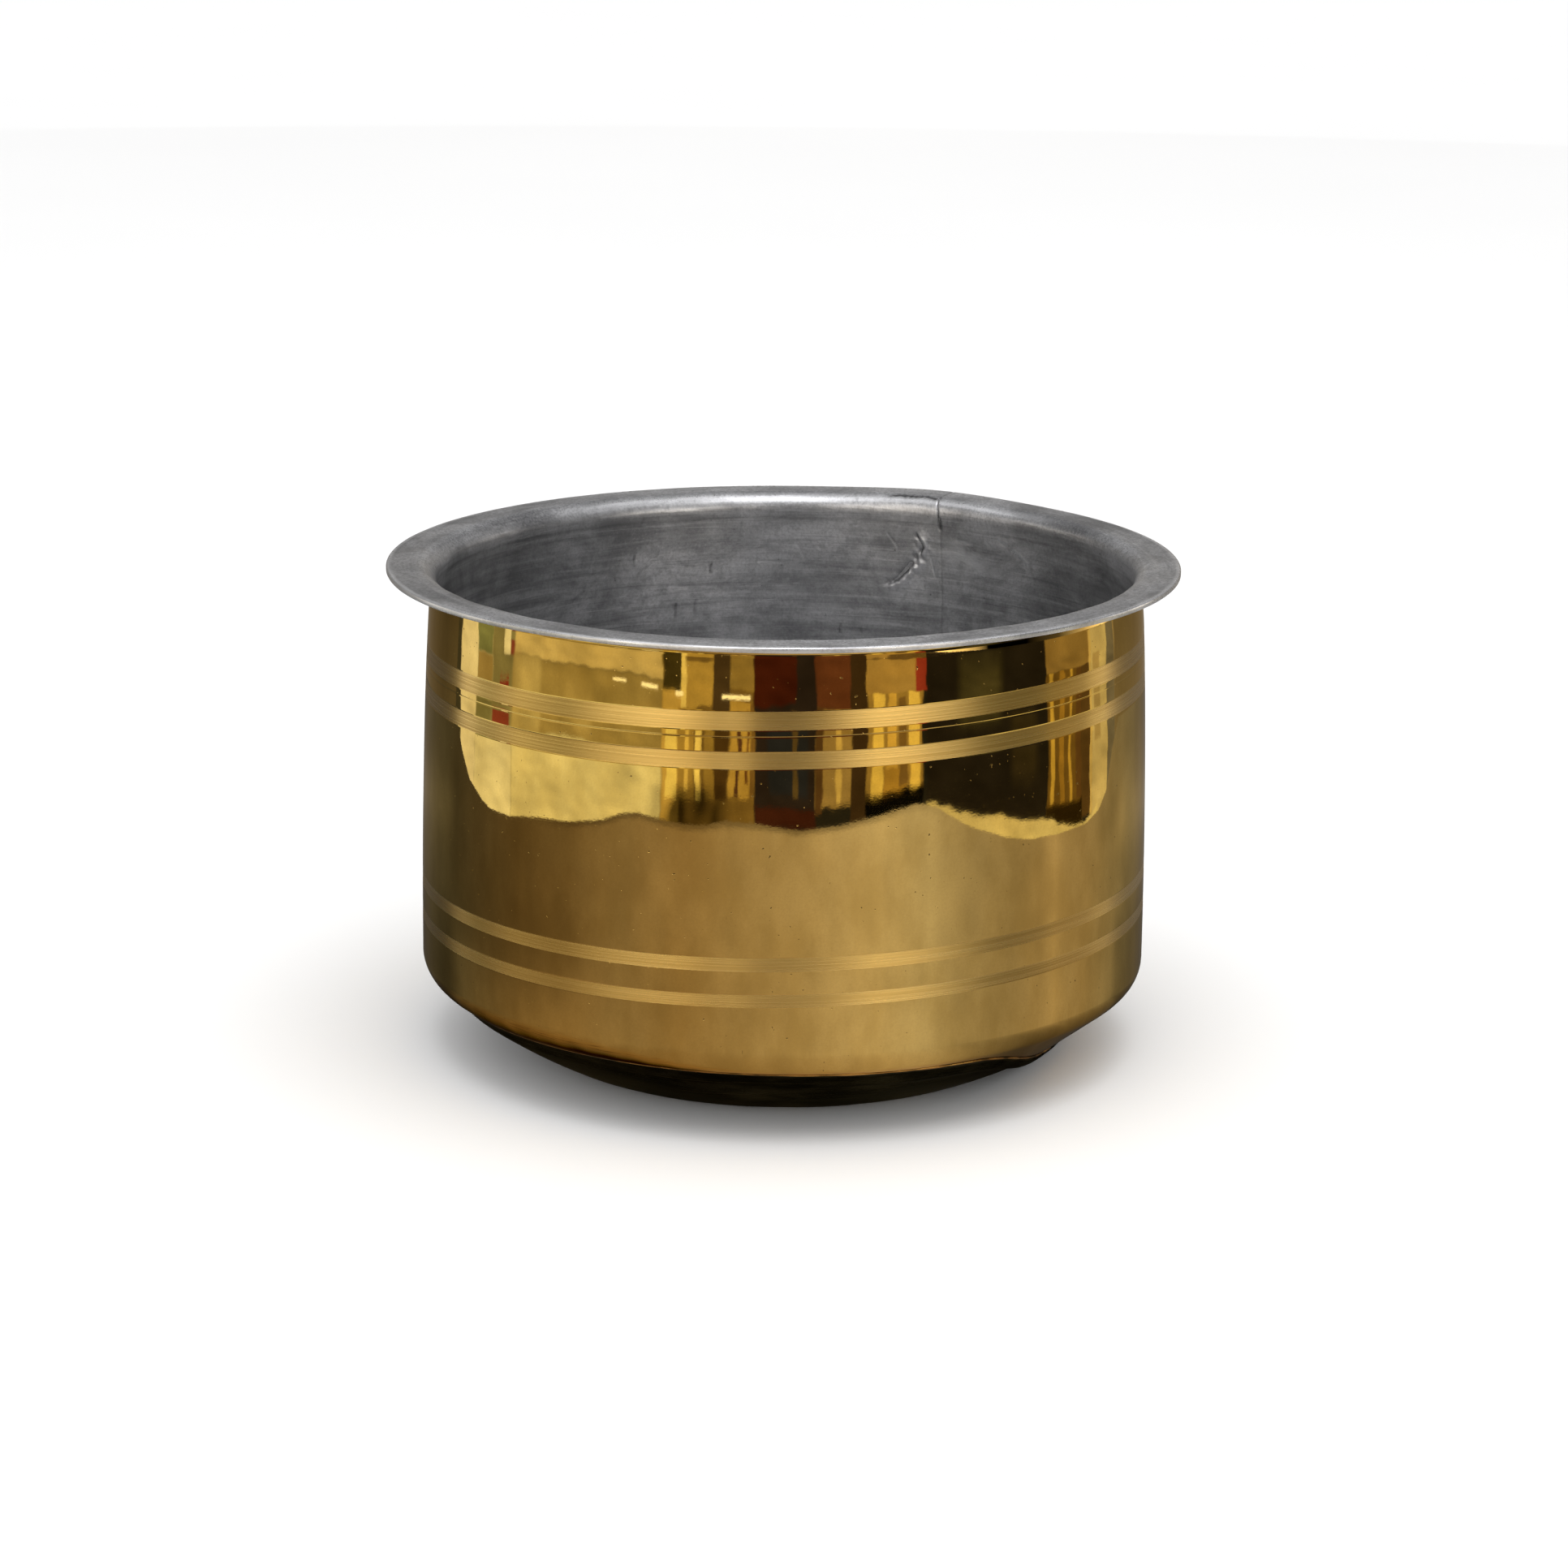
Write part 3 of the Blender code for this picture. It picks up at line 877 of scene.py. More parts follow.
def build_tin(material):
    lift = SHEET + COAT
    face = offset(np.vstack([bend_line(16), corner_rows()]), lift)
    rim = arc((RIM_RADIUS - RIM_ROUND, POT_HEIGHT - RIM_ROUND), RIM_ROUND, 0, math.pi / 2, 6)
    hem = np.array([[RIM_RADIUS - 0.0001, FLANGE_UNDERSIDE_Z + 0.0001],
                    [RIM_RADIUS, FLANGE_UNDERSIDE_Z + 0.0003]])
    flange = face[face[:, 0] < RIM_RADIUS - 0.0009]
    end = lip_height(LIP_END_RADIUS) + lift / math.cos(LIP_SLOPE)
    step = np.array([[LIP_END_RADIUS - 0.0009, end - 0.0002], [LIP_END_RADIUS - 0.0014, end - 0.0009]])
    dish_r = np.concatenate([np.linspace(LIP_END_RADIUS - 0.0022, 0.0650, 36),
                             np.linspace(0.063, 0.0006, 40)])
    dish = np.stack([dish_r, dish_height(dish_r) + DISH_THICKNESS + COAT / 0.95], 1)
    line = np.vstack([hem, rim, flange, step, dish])
    # columns stand closest round the seam, where the crack and the tear are
    phi = np.radians(np.concatenate([np.arange(25, 56, 0.25), np.arange(56, 80, 0.12),
                                     np.arange(80, 130, 0.25), np.arange(130, 385, 0.75)]))
    n = len(phi)
    s = across(along(line), n)
    run = np.gradient(line, axis=0)
    run /= np.linalg.norm(run, axis=1, keepdims=True)
    normal = np.stack([-run[:, 1], run[:, 0]], 1)
    # the line runs in over the rim and down the inside, so its right-hand side faces the hollow
    normal = -normal if normal[len(hem) + len(rim) + 3, 1] < 0 else normal
    phis = np.repeat(phi[None, :], len(line), 0)
    r, z = across(line[:, 0], n), across(line[:, 1], n)
    depth, dark, bright = tin_marks_and_painted_light(phis, r, z, s)
    r, z = r + normal[:, :1] * depth, z + normal[:, 1:] * depth

    inner = offset(np.vstack([bend_line(5), corner_rows(0.01, 6)]), SHEET + 0.0001)
    inner = inner[inner[:, 0] < FLANGE_EDGE_RADIUS - 0.0005]
    edge_r, edge_z = FLANGE_EDGE_RADIUS + 0.00012, FLANGE_UNDERSIDE_Z + 0.0001
    edge = np.array([[edge_r, edge_z], [edge_r, edge_z + SHEET]])
    floor_r = np.linspace(LIP_END_RADIUS - 0.0030, 0.0006, 24)
    floor = np.stack([floor_r, dish_height(floor_r) + DISH_THICKNESS + 0.0002 / 0.95], 1)
    back = np.vstack([edge, inner, floor])
    phis_b = np.repeat(phi[None, :], len(back), 0)
    rb, zb = across(back[:, 0], n), across(back[:, 1], n)

    middle = [[0, 0, line[-1][1]], [0, 0, back[-1][1]]]
    verts = np.vstack([rim_shape(r, phis, z), rim_shape(rb, phis_b, zb), middle])
    lathe = np.vstack([lathe_coordinates(phis, s, r), lathe_coordinates(phis_b, zb, rb),
                       lathe_coordinates(np.zeros(2), s[-1, :2], 0)])
    plain = np.zeros(len(verts) - dark.size)
    marks_and_painted_light = {"dark": np.append(dark, plain), "bright": np.append(bright, plain)}
    obj = add_mesh("tin_wiped_lining", verts, bowl_faces(len(line), len(back), n), [material],
                   {"lathe": lathe, **marks_and_painted_light}, sharp=60)
    piece(obj, "tin_lining")


def corner_rows(pitch=0.0005, steps=16):
    """Outer wall line from under the bend to the end of the lip, without bands."""
    heights = np.arange(WALL_TOP_Z - 0.0012, CORNER_TOP_Z, -pitch)
    return np.vstack([np.stack([wall_radius(heights), heights], 1), corner_line(steps)])


# Marks in the tin as paths of (azimuth in degrees, height in mm)
CRACK = ((62.4, 142.8), (62.1, 139.5), (62.3, 138.2), (62.0, 137.0))
DRIP = ((62.1, 137.2), (61.9, 134.6))
INNER_SEAM = ((61.9, 134.6), (61.8, 125.0), (61.7, 112.0), (61.9, 96.0))
GOUGE = ((65.9, 130.6), (65.1, 127.8), (66.2, 123.8), (68.4, 119.2), (69.9, 116.4), (71.0, 115.5))
SCUFF = ((49.7, 133.8), (46.8, 131.0), (44.6, 128.2), (42.7, 126.6))
SCRATCHES = (((72.0, 131.5), (70.2, 127.2)), ((63.8, 124.6), (63.1, 119.0)), ((58.8, 131.5), (55.5, 130.9)),
             ((88.5, 127.0), (86.8, 121.5)), ((111.0, 114.0), (107.5, 113.2)),
             ((95.0, 121.0), (91.0, 120.4)))
FLECKS = ((117.5, 123.4), (103.3, 119.1), (106.0, 106.7), (109.6, 106.0), (80.3, 99.7), (76.5, 99.9))


def tin_marks_and_painted_light(phi, r, z, s):
    """Height of the tin's surface marks, and how dark or bright each point is, from the marks and from
    painted shade and highlights.
    """
    depth = 0.00006 * waves(phi, s, 51, 0.018) + 0.00002 * waves(phi, s, 52, 0.006)
    depth = depth * ease(0.1160, 0.1120, r)
    dark, bright = np.zeros(phi.shape), np.zeros(phi.shape)

    crack, _ = near_path(phi, z, CRACK, 0.00022)
    drip, _ = near_path(phi, z, DRIP, 0.0006)
    seam, _ = near_path(phi, z, INNER_SEAM, 0.0004)
    depth -= 0.00035 * crack + 0.00030 * drip + 0.00005 * seam
    dark += 0.85 * crack + 0.80 * drip + 0.20 * seam

    gouge, side = near_path(phi, z, GOUGE, 0.0021)
    gouge = gouge * patchy(phi, z, 64, 0.0035, 0.75, 0.55)
    depth += 0.00060 * gouge * np.tanh(side / 0.0006)
    # painted highlight on the side of the gouge that stands proud and painted shade on the side that sinks,
    # over its real dent
    bright += 0.55 * gouge * ease(0.0001, 0.0007, side)
    dark += 0.75 * gouge * ease(0.0004, -0.0002, side)

    scuff, side = near_path(phi, z, SCUFF, 0.0011)
    scuff = scuff * patchy(phi, z, 65, 0.004, 0.7, 0.6)
    depth += 0.00018 * scuff * np.tanh(side / 0.0005)
    bright += 0.85 * scuff
    # painted shade along the sunken side of the scuff; the bright rub over it is the scuff's own
    dark += 0.40 * scuff * (side < -0.0004)
    for path in SCRATCHES:
        line, _ = near_path(phi, z, path, 0.0003)
        bright += 0.35 * line
        depth -= 0.00008 * line
    draw = np.random.default_rng(62)
    for azimuth, height in FLECKS:
        bend, tall = draw.uniform(-0.5, 0.5), draw.uniform(1.0, 2.4)
        path = ((azimuth, height + tall), (azimuth + bend, height), (azimuth + bend / 3, height - tall))
        line, _ = near_path(phi, z, path, 0.00042)
        line = line * patchy(phi, z, 63, 0.003, 0.7, 0.5)
        dark += 0.65 * line
        depth -= 0.00015 * line

    # painted shade darkens the coat at its two ends, left and right, and a painted highlight brightens the
    # far side of the throat
    painted_side_shade = ease(0.62, 0.97, np.abs(np.cos(phi)))
    dark += 0.42 * painted_side_shade * ease(0.1375, 0.1330, z) * patchy(phi, z, 66, 0.02, 0.85, 0.2)
    painted_throat_highlight = ease(30, 48, np.degrees(phi)) * ease(140, 118, np.degrees(phi))
    bright += 0.50 * painted_throat_highlight * np.exp(-((r - 0.1032) / 0.0013)**2) * ease(0.134, 0.138, z)

    x = R0 * phi
    cloudy = np.exp(-((x - R0 * math.radians(56.5)) / 0.0080)**2 - ((z - 0.1265) / 0.0048)**2)
    bright += 0.55 * cloudy * patchy(phi, z, 61, 0.006, 0.6, 0.6)

    # the flange was hammered down over the crack, which left a ragged dark edge in the throat
    ragged = 0.00028 * waves(phi, 0.0, 71, 0.005, 10) + 0.00015 * waves(phi, r, 72, 0.0016, 10)
    from_line = r - 0.1042 - ragged
    span = ease(61.6, 62.6, np.degrees(phi)) * ease(72.6, 70.6, np.degrees(phi))
    thick = 0.00055 + 0.00025 * waves(phi, 0.0, 75, 0.006, 8)
    tear = span * np.exp(-(from_line / thick)**2) * ease(0.1405, 0.1414, z)
    depth -= 0.00030 * tear
    bright *= (1 - tear) * (1 - crack)
    dark += 0.90 * tear
    nick, _ = near_path(phi, z, ((77.6, 142.2), (77.1, 141.2)), 0.00045)
    dark += 0.6 * nick
    # painted shade: a dark line along the foot of the throat's bend, under the painted highlight
    throat_shade_line = np.exp(-((z - 0.1352) / 0.0005)**2) * (r > 0.1)
    dark += 0.35 * throat_shade_line * patchy(phi, 0.0, 73, 0.03, 0.6, 0.5)
    # painted highlight: the flange's edge is whitened
    edge = ease(RIM_RADIUS - 0.0010, RIM_RADIUS - 0.0005, r)
    bright += 0.80 * edge * patchy(phi, 0.0, 74, 0.015, 0.85, 0.25)
    return depth, np.clip(dark, 0, 0.95), np.clip(bright, 0, 0.85)


# ---------------------------------------------------------------- assembly

build_wall([polished_brass(), satin_brass()])
build_seam(seam_brass())
build_base(painted_shade_base_brass())
build_lap_bead(lap_brass())
build_tin(wiped_tin())


# ---------------------------------------------------------------- studio

CAMERA_DISTANCE = 1.1915
CAMERA_HEIGHT = 0.3903
CAMERA_PITCH = math.radians(14.80)
CAMERA_ROLL = math.radians(0.60)
CAMERA_LENS = 96.07
FLOOR_RADIUS = 30


def add_camera():
    data = bpy.data.cameras.new("camera")
    data.lens = CAMERA_LENS
    data.sensor_width = 36
    data.clip_end = 50
    camera = bpy.data.objects.new("camera", data)
    bpy.context.scene.collection.objects.link(camera)
    camera.matrix_world = (Matrix.Translation((0, -CAMERA_DISTANCE, CAMERA_HEIGHT))
                           @ Matrix.Rotation(math.pi / 2 - CAMERA_PITCH, 4, "X")
                           @ Matrix.Rotation(CAMERA_ROLL, 4, "Z"))
    bpy.context.scene.camera = camera


def add_floor():
    """Pale floor. Mirror-bright metal sees the light cards instead of it."""
    bm = bmesh.new()
    bmesh.ops.create_circle(bm, cap_ends=True, segments=96, radius=FLOOR_RADIUS)
    mesh = bpy.data.meshes.new("floor")
    bm.to_mesh(mesh)
    bm.free()
    floor = bpy.data.objects.new("floor", mesh)
    bpy.context.scene.collection.objects.link(floor)
    floor.visible_glossy = False
    n = Nodes("floor_pale")
    coarse = n.noise(n.add("ShaderNodeTexCoord").outputs["Object"], 3.0, 2.0)
    colour = n.mix(coarse, (0.88, 0.88, 0.88), (0.90, 0.90, 0.90))
    mesh.materials.append(n.finish(Base_Color=colour, Roughness=0.9))


def glow_card(name, verts, faces, colours):
    """A light card seen only in reflections, coloured point by point."""
    mesh = bpy.data.meshes.new(name)
    mesh.from_pydata([tuple(v) for v in verts], [], faces)
    layer = mesh.attributes.new("glow", "FLOAT_VECTOR", "POINT")
    layer.data.foreach_set("vector", np.asarray(colours, np.float32).ravel())
    material = bpy.data.materials.new(name)
    material.use_nodes = True
    tree = material.node_tree
    tree.nodes.clear()
    source = tree.nodes.new("ShaderNodeAttribute")
    source.attribute_name = "glow"
    emit = tree.nodes.new("ShaderNodeEmission")
    out = tree.nodes.new("ShaderNodeOutputMaterial")
    tree.links.new(source.outputs["Vector"], emit.inputs["Color"])
    tree.links.new(emit.outputs["Emission"], out.inputs["Surface"])
    material.cycles.emission_sampling = "NONE"
    mesh.materials.append(material)
    obj = bpy.data.objects.new(name, mesh)
    bpy.context.scene.collection.objects.link(obj)
    for kind in ("camera", "diffuse", "shadow", "transmission", "volume_scatter"):
        setattr(obj, f"visible_{kind}", False)


# A ray mirrored by the wall turns by this much for each degree round the pot
TURN = 2.045
CARD_Z = -0.004
BACKDROP_RADIUS = 1.7
DOME_RADIUS = 2.6


def mirrored(azimuth, height):
    """Points on the wall that mirror an azimuth (degrees), at a height, and where their rays go."""
    side = np.radians(azimuth) / TURN
    height = np.asarray(height, float)
    step = 0.0005
    r = wall_radius(height)
    slope = (wall_radius(height + step) - wall_radius(height - step)) / (2 * step)
    side, height, r, slope = np.broadcast_arrays(side, height, r, slope)
    point = np.stack([r * np.sin(side), -r * np.cos(side), height], -1)
    normal = np.stack([np.sin(side), -np.cos(side), -slope], -1)
    normal = normal / np.linalg.norm(normal, axis=-1, keepdims=True)
    view = point - np.array([0, -CAMERA_DISTANCE, CAMERA_HEIGHT])
    view = view / np.linalg.norm(view, axis=-1, keepdims=True)
    return point, view - 2 * (view * normal).sum(-1, keepdims=True) * normal


def on_cylinder(azimuth, height, radius):
    point, ray = mirrored(azimuth, height)
    a = (ray[..., :2]**2).sum(-1)
    b = (point[..., :2] * ray[..., :2]).sum(-1)
    c = (point[..., :2]**2).sum(-1) - radius**2
    return point + ray * ((-b + np.sqrt(b * b - a * c)) / a)[..., None]


def on_table(azimuth, height):
    point, ray = mirrored(azimuth, height)
    return point + ray * ((CARD_Z - point[..., 2]) / ray[..., 2])[..., None]


# Soft boxes and dark panels of the room round the pot, painted in this order: azimuth range in
# degrees right of the camera, range of wall heights in mm that mirrors them, softness, colour.
ROOM = (
    (-130, -123.5, 70, 145, 0.6, (0.055, 0.056, 0.05)),
    (-123.5, -113.5, 70, 145, 0.6, (0.87, 0.88, 0.86)),
    (-113.5, -94, 70, 145, 0.5, (0.86, 0.88, 0.80)),
    (-113.5, -105, 126, 145, 0.5, (0.22, 0.27, 0.17)),
    (-113.5, -105, 118, 126, 0.5, (0.40, 0.33, 0.18)),
    (-113.5, -104, 110, 118, 0.8, (0.22, 0.23, 0.14)),
    (-105, -93, 108, 145, 0.8, (0.26, 0.26, 0.17)),
    (-101, -96, 119, 124, 0.5, (0.30, 0.05, 0.04)),
    (-104, -95, 111, 116, 0.6, (0.26, 0.06, 0.05)),
    (-99, -96.2, 128, 137, 0.4, (0.90, 0.93, 0.90)),
    (-96, -91, 128, 133, 0.5, (0.25, 0.07, 0.06)),
    (-94, -38, 129, 145, 0.8, (0.66, 0.58, 0.36)),
    (-94, -38, 109.5, 129, 0.8, (0.36, 0.30, 0.15)),
    (-94, -82, 110, 129, 2.5, (0.52, 0.46, 0.27)),
    (-72, -62, 113, 124, 2.5, (0.47, 0.40, 0.22)),
    (-94, -38, 70, 109.5, 1.2, (0.82, 0.82, 0.64)),
    (-38, -31, 70, 145, 0.7, (0.66, 0.50, 0.18)),
    (-38, -32, 127.2, 145, 0.7, (0.06, 0.05, 0.02)),
    (-32, -9, 70, 145, 0.6, (0.20, 0.14, 0.05)),
    (-32, -22, 124, 136, 0.4, (0.48, 0.36, 0.12)),
    (-32.2, -30.6, 122, 137, 0.3, (0.90, 0.78, 0.36)),
    (-22, -16.5, 120, 145, 0.5, (0.07, 0.05, 0.03)),
    (-36.8, -33.2, 98, 120, 0.4, (0.98, 0.86, 0.36)),
    (-33, -27.5, 98, 124, 0.5, (0.42, 0.31, 0.10)),
    (-30.4, -29.2, 100, 122, 0.3, (0.80, 0.64, 0.24)),
    (-27, -25.2, 98, 122, 0.3, (0.98, 0.86, 0.38)),
    (-24, -20.5, 98, 119, 0.4, (0.34, 0.25, 0.08)),
    (-21, -16.9, 98, 119, 0.4, (0.08, 0.05, 0.02)),
    (-16.5, -9.2, 99, 125, 0.4, (0.52, 0.38, 0.12)),
    (-10.6, -9.2, 99, 125, 0.4, (0.20, 0.13, 0.05)),
    (-16.5, -9.2, 128, 145, 0.5, (0.30, 0.23, 0.09)),
    (-14.6, -13.6, 99, 120, 0.3, (0.10, 0.05, 0.03)),
    (-11.8, -11.0, 103, 123, 0.3, (0.16, 0.08, 0.03)),
    (-9.2, 9.2, 70, 145, 0.5, (0.025, 0.020, 0.025)),
    (-9.2, 3.5, 124, 145, 0.8, (0.055, 0.013, 0.008)),
    (-5, 7, 101, 118, 1.5, (0.020, 0.024, 0.045)),
    (-9, 9.2, 91, 97, 0.8, (0.050, 0.016, 0.012)),
    (2.5, 4.0, 100, 122, 0.4, (0.10, 0.075, 0.04)),
    (9.2, 20, 98, 124, 0.5, (0.33, 0.25, 0.12)),
    (9.2, 11.2, 96, 124, 0.3, (0.10, 0.06, 0.03)),
    (15.0, 16.6, 99, 124, 0.4, (0.62, 0.50, 0.22)),
    (9.2, 20, 124, 145, 0.7, (0.13, 0.05, 0.03)),
    (20, 25, 70, 145, 0.5, (0.05, 0.033, 0.02)),
    (25, 42.5, 98, 145, 0.5, (0.36, 0.26, 0.09)),
    (26.8, 30.2, 98, 128, 0.4, (0.92, 0.74, 0.24)),
    (31.2, 34.2, 99, 128, 0.4, (0.72, 0.52, 0.15)),
    (30.4, 37.0, 98, 106, 0.8, (0.44, 0.29, 0.07)),
    (38.0, 41.6, 98, 128, 0.4, (0.90, 0.72, 0.23)),
    (34.8, 37.2, 100, 126, 0.4, (0.20, 0.13, 0.05)),
    (25, 42, 128, 137, 0.4, (0.43, 0.31, 0.13)),
    (40.5, 43.8, 128, 137, 0.4, (0.32, 0.05, 0.04)),
    (25, 43.8, 137, 145, 0.4, (0.16, 0.11, 0.05)),
    (43.8, 89, 70, 145, 0.6, (0.018, 0.016, 0.016)),
    (55, 70, 116, 136, 4.0, (0.06, 0.058, 0.035)),
    (74, 84, 100, 118, 4.0, (0.040, 0.034, 0.022)),
    (89, 106, 82, 127, 0.7, (0.16, 0.105, 0.03)),
    (90.2, 92.0, 90, 127, 0.4, (0.62, 0.46, 0.12)),
    (94.6, 97.0, 89, 127, 0.4, (0.34, 0.22, 0.05)),
    (99.6, 100.8, 89, 127, 0.4, (0.55, 0.40, 0.10)),
    (103, 106, 90, 127, 0.4, (0.12, 0.07, 0.03)),
    (89, 112, 127, 145, 0.6, (0.30, 0.22, 0.10)),
    (106, 110.6, 84, 127, 0.5, (0.10, 0.065, 0.03)),
    (110.6, 111.8, 84, 138, 0.3, (0.66, 0.56, 0.32)),
    (111.8, 121.5, 70, 145, 0.5, (0.60, 0.56, 0.42)),
    (121.5, 130, 70, 145, 0.8, (0.18, 0.18, 0.20)),
    (113, 117, 104, 132, 1.0, (0.42, 0.36, 0.24)),
)

# Dark rounded feet of the two gold columns: azimuth range and the height where they end
COLUMN_FEET = ((25, 42.5, 99), (89, 106, 89))

# Lamps in white casings: azimuth, wall height, half width and half height
TUBES = ((-52, 127.0, 2.2, 0.30), (-42, 126.8, 2.6, 0.45), (-32.6, 126.4, 1.1, 0.45),
    (-14.8, 126.0, 4.4, 0.45))

# Top of the pale strip behind the table: azimuth, wall height in mm
STRIP_TOP = ((44, 93.2), (50, 92.2), (55, 91.6), (65, 90.4), (75, 89.2), (85, 87.8), (90, 86),
    (93.5, 83.5), (100, 82), (108, 82), (112, 84), (120, 90))

# The table's outline as the wall mirrors it: azimuth in degrees, wall height in mm
TABLE_EDGE = ((-180, 112), (-126, 108), (-121, 99), (-116, 92), (-108, 87), (-104, 85.5), (-94, 85),
    (-72, 87), (-57, 89.5), (-50, 92.5), (-45, 93.2), (-38, 92.4), (-30, 91.4), (-24, 91.6),
    (-18, 92.8), (-8, 92.2), (4, 90.6), (16, 91.8), (24, 93.4), (32, 94.2), (41, 94.4), (47, 93.2),
    (59, 88), (70, 84.5), (82, 82), (94, 81), (108, 81.5), (116, 84), (121, 89), (125, 100), (130, 108),
    (180, 112))
# Its brightness round the pot, and how warm it is
TABLE_GLOW = ((-180, 0.30, 0.2), (-172, 0.13, 0.3), (-160, 0.11, 0.2), (-150, 0.10, 0.0),
    (-135, 0.07, 0.0), (-125, 0.06, 0.2), (-108, 0.08, 0.6), (-90, 0.11, 0.9), (-70, 0.16, 0.9),
    (-50, 0.27, 0.7), (-30, 0.33, 0.8), (-15, 0.38, 0.6), (0, 0.43, 0.5), (15, 0.51, 0.4),
    (30, 0.59, 0.3), (45, 0.51, 0.2), (58, 0.37, 0.3), (75, 0.33, 0.4), (86, 0.36, 0.5),
    (93, 0.46, 0.5), (100, 0.36, 0.5), (108, 0.34, 0.5), (123, 0.27, 0.3), (140, 0.20, 0.1),
    (160, 0.16, 0.2), (172, 0.16, 0.3), (180, 0.30, 0.2))
# Level of the lamps near the horizon round the pot
LAMPS = ((-180, 0.42), (-170, 0.16), (-150, 0.09), (-135, 0.055), (-125, 0.08), (-118, 1.40),
    (-104, 0.50), (-90, 1.30), (-70, 0.25), (-50, 2.30), (-34, 3.30), (-25, 1.80), (-18.2, 0.90),
    (-17.6, 2.30), (-14.9, 2.30), (-14.3, 0.40), (-13.3, 0.40), (-12.7, 1.70), (-11.0, 1.50),
    (-10.2, 0.25), (2, 0.00), (14, 0.60), (22, 2.70), (33, 3.15), (50, 2.00), (65, 0.00), (80, 0.00),
    (94, 0.10), (106, 0.60), (118, 1.70), (126, 0.16), (138, 0.14), (160, 0.18), (170, 0.24),
    (180, 0.42))


def panel_share(value, low, high, soft):
    return ease(low - soft / 2, low + soft / 2, value) * ease(high + soft / 2, high - soft / 2, value)


def room_colours(azimuth, height):
    """Colour of the room as the wall mirrors it at an azimuth (degrees) and height (mm)."""
    turn, rise = np.radians(azimuth), height / 1000
    a = azimuth + 0.45 * waves(turn, rise, 81, 0.030, 10) + 0.20 * waves(turn, rise, 82, 0.006, 12)
    h = height + 0.40 * waves(turn, rise, 83, 0.030, 10) + 0.25 * waves(turn, rise, 84, 0.008, 12)
    colour = np.full((*azimuth.shape, 3), 0.02)
    for a0, a1, h0, h1, soft, shade in ROOM:
        share = panel_share(a, a0, a1, soft) * panel_share(h, h0, h1, 2 * soft)
        colour += share[..., None] * (np.array(shade) - colour)
    shade_mottle = panel_share(a, -40, -18, 8) * panel_share(h, 88, 101.5, 4)
    colour *= (1 - 0.85 * shade_mottle * patchy(turn, rise, 85, 0.012, 0.8, 0.4))[..., None]
    for a0, a1, top in COLUMN_FEET:
        round_end = ease(1.25, 0.75, np.abs(a - (a0 + a1) / 2) / ((a1 - a0) / 2))
        end = panel_share(a, a0, a1, 0.5) * ease(top + 1, top - 1, h - 2.5 * (1 - round_end))
        colour *= (1 - 0.85 * end * ease(70, 80, h))[..., None]
    strip = np.array(STRIP_TOP, float)
    top = np.interp(a, strip[:, 0], strip[:, 1])
    pale = ease(top + 0.35, top - 0.35, h) * ease(43, 45, a) * ease(116, 114, a)
    colour += pale[..., None] * (np.array((0.74, 0.70, 0.48)) - colour)
    mottle = 0.09 * waves(turn / 2, rise, 86, 0.014, 16) + 0.07 * waves(turn / 2, 1.5 * rise, 87, 0.006, 16)
    colour *= np.clip(1 + mottle, 0.4, 1.6)[..., None]
    for centre, at, half, tall in TUBES:
        near = np.abs(azimuth - centre), np.abs(height - at)
        glow = ease(half + 0.3, half - 0.2, near[0]) * ease(tall + 0.25, tall - 0.2, near[1])
        colour += glow[..., None] * (np.array((1.5, 1.55, 1.6)) - colour)
    return np.clip(colour, 0, 2)


def add_room():
    azimuths = np.arange(-127, 127.01, 0.4)
    heights = np.concatenate([np.arange(40, 78, 2), np.arange(78, 138.51, 0.25)])
    azimuth, height = np.meshgrid(azimuths, heights)
    verts = on_cylinder(azimuth, height / 1000, BACKDROP_RADIUS).reshape(-1, 3)
    faces = grid_faces(len(heights), len(azimuths), False)
    glow_card("reflection_room", verts, faces, room_colours(azimuth, height).reshape(-1, 3))


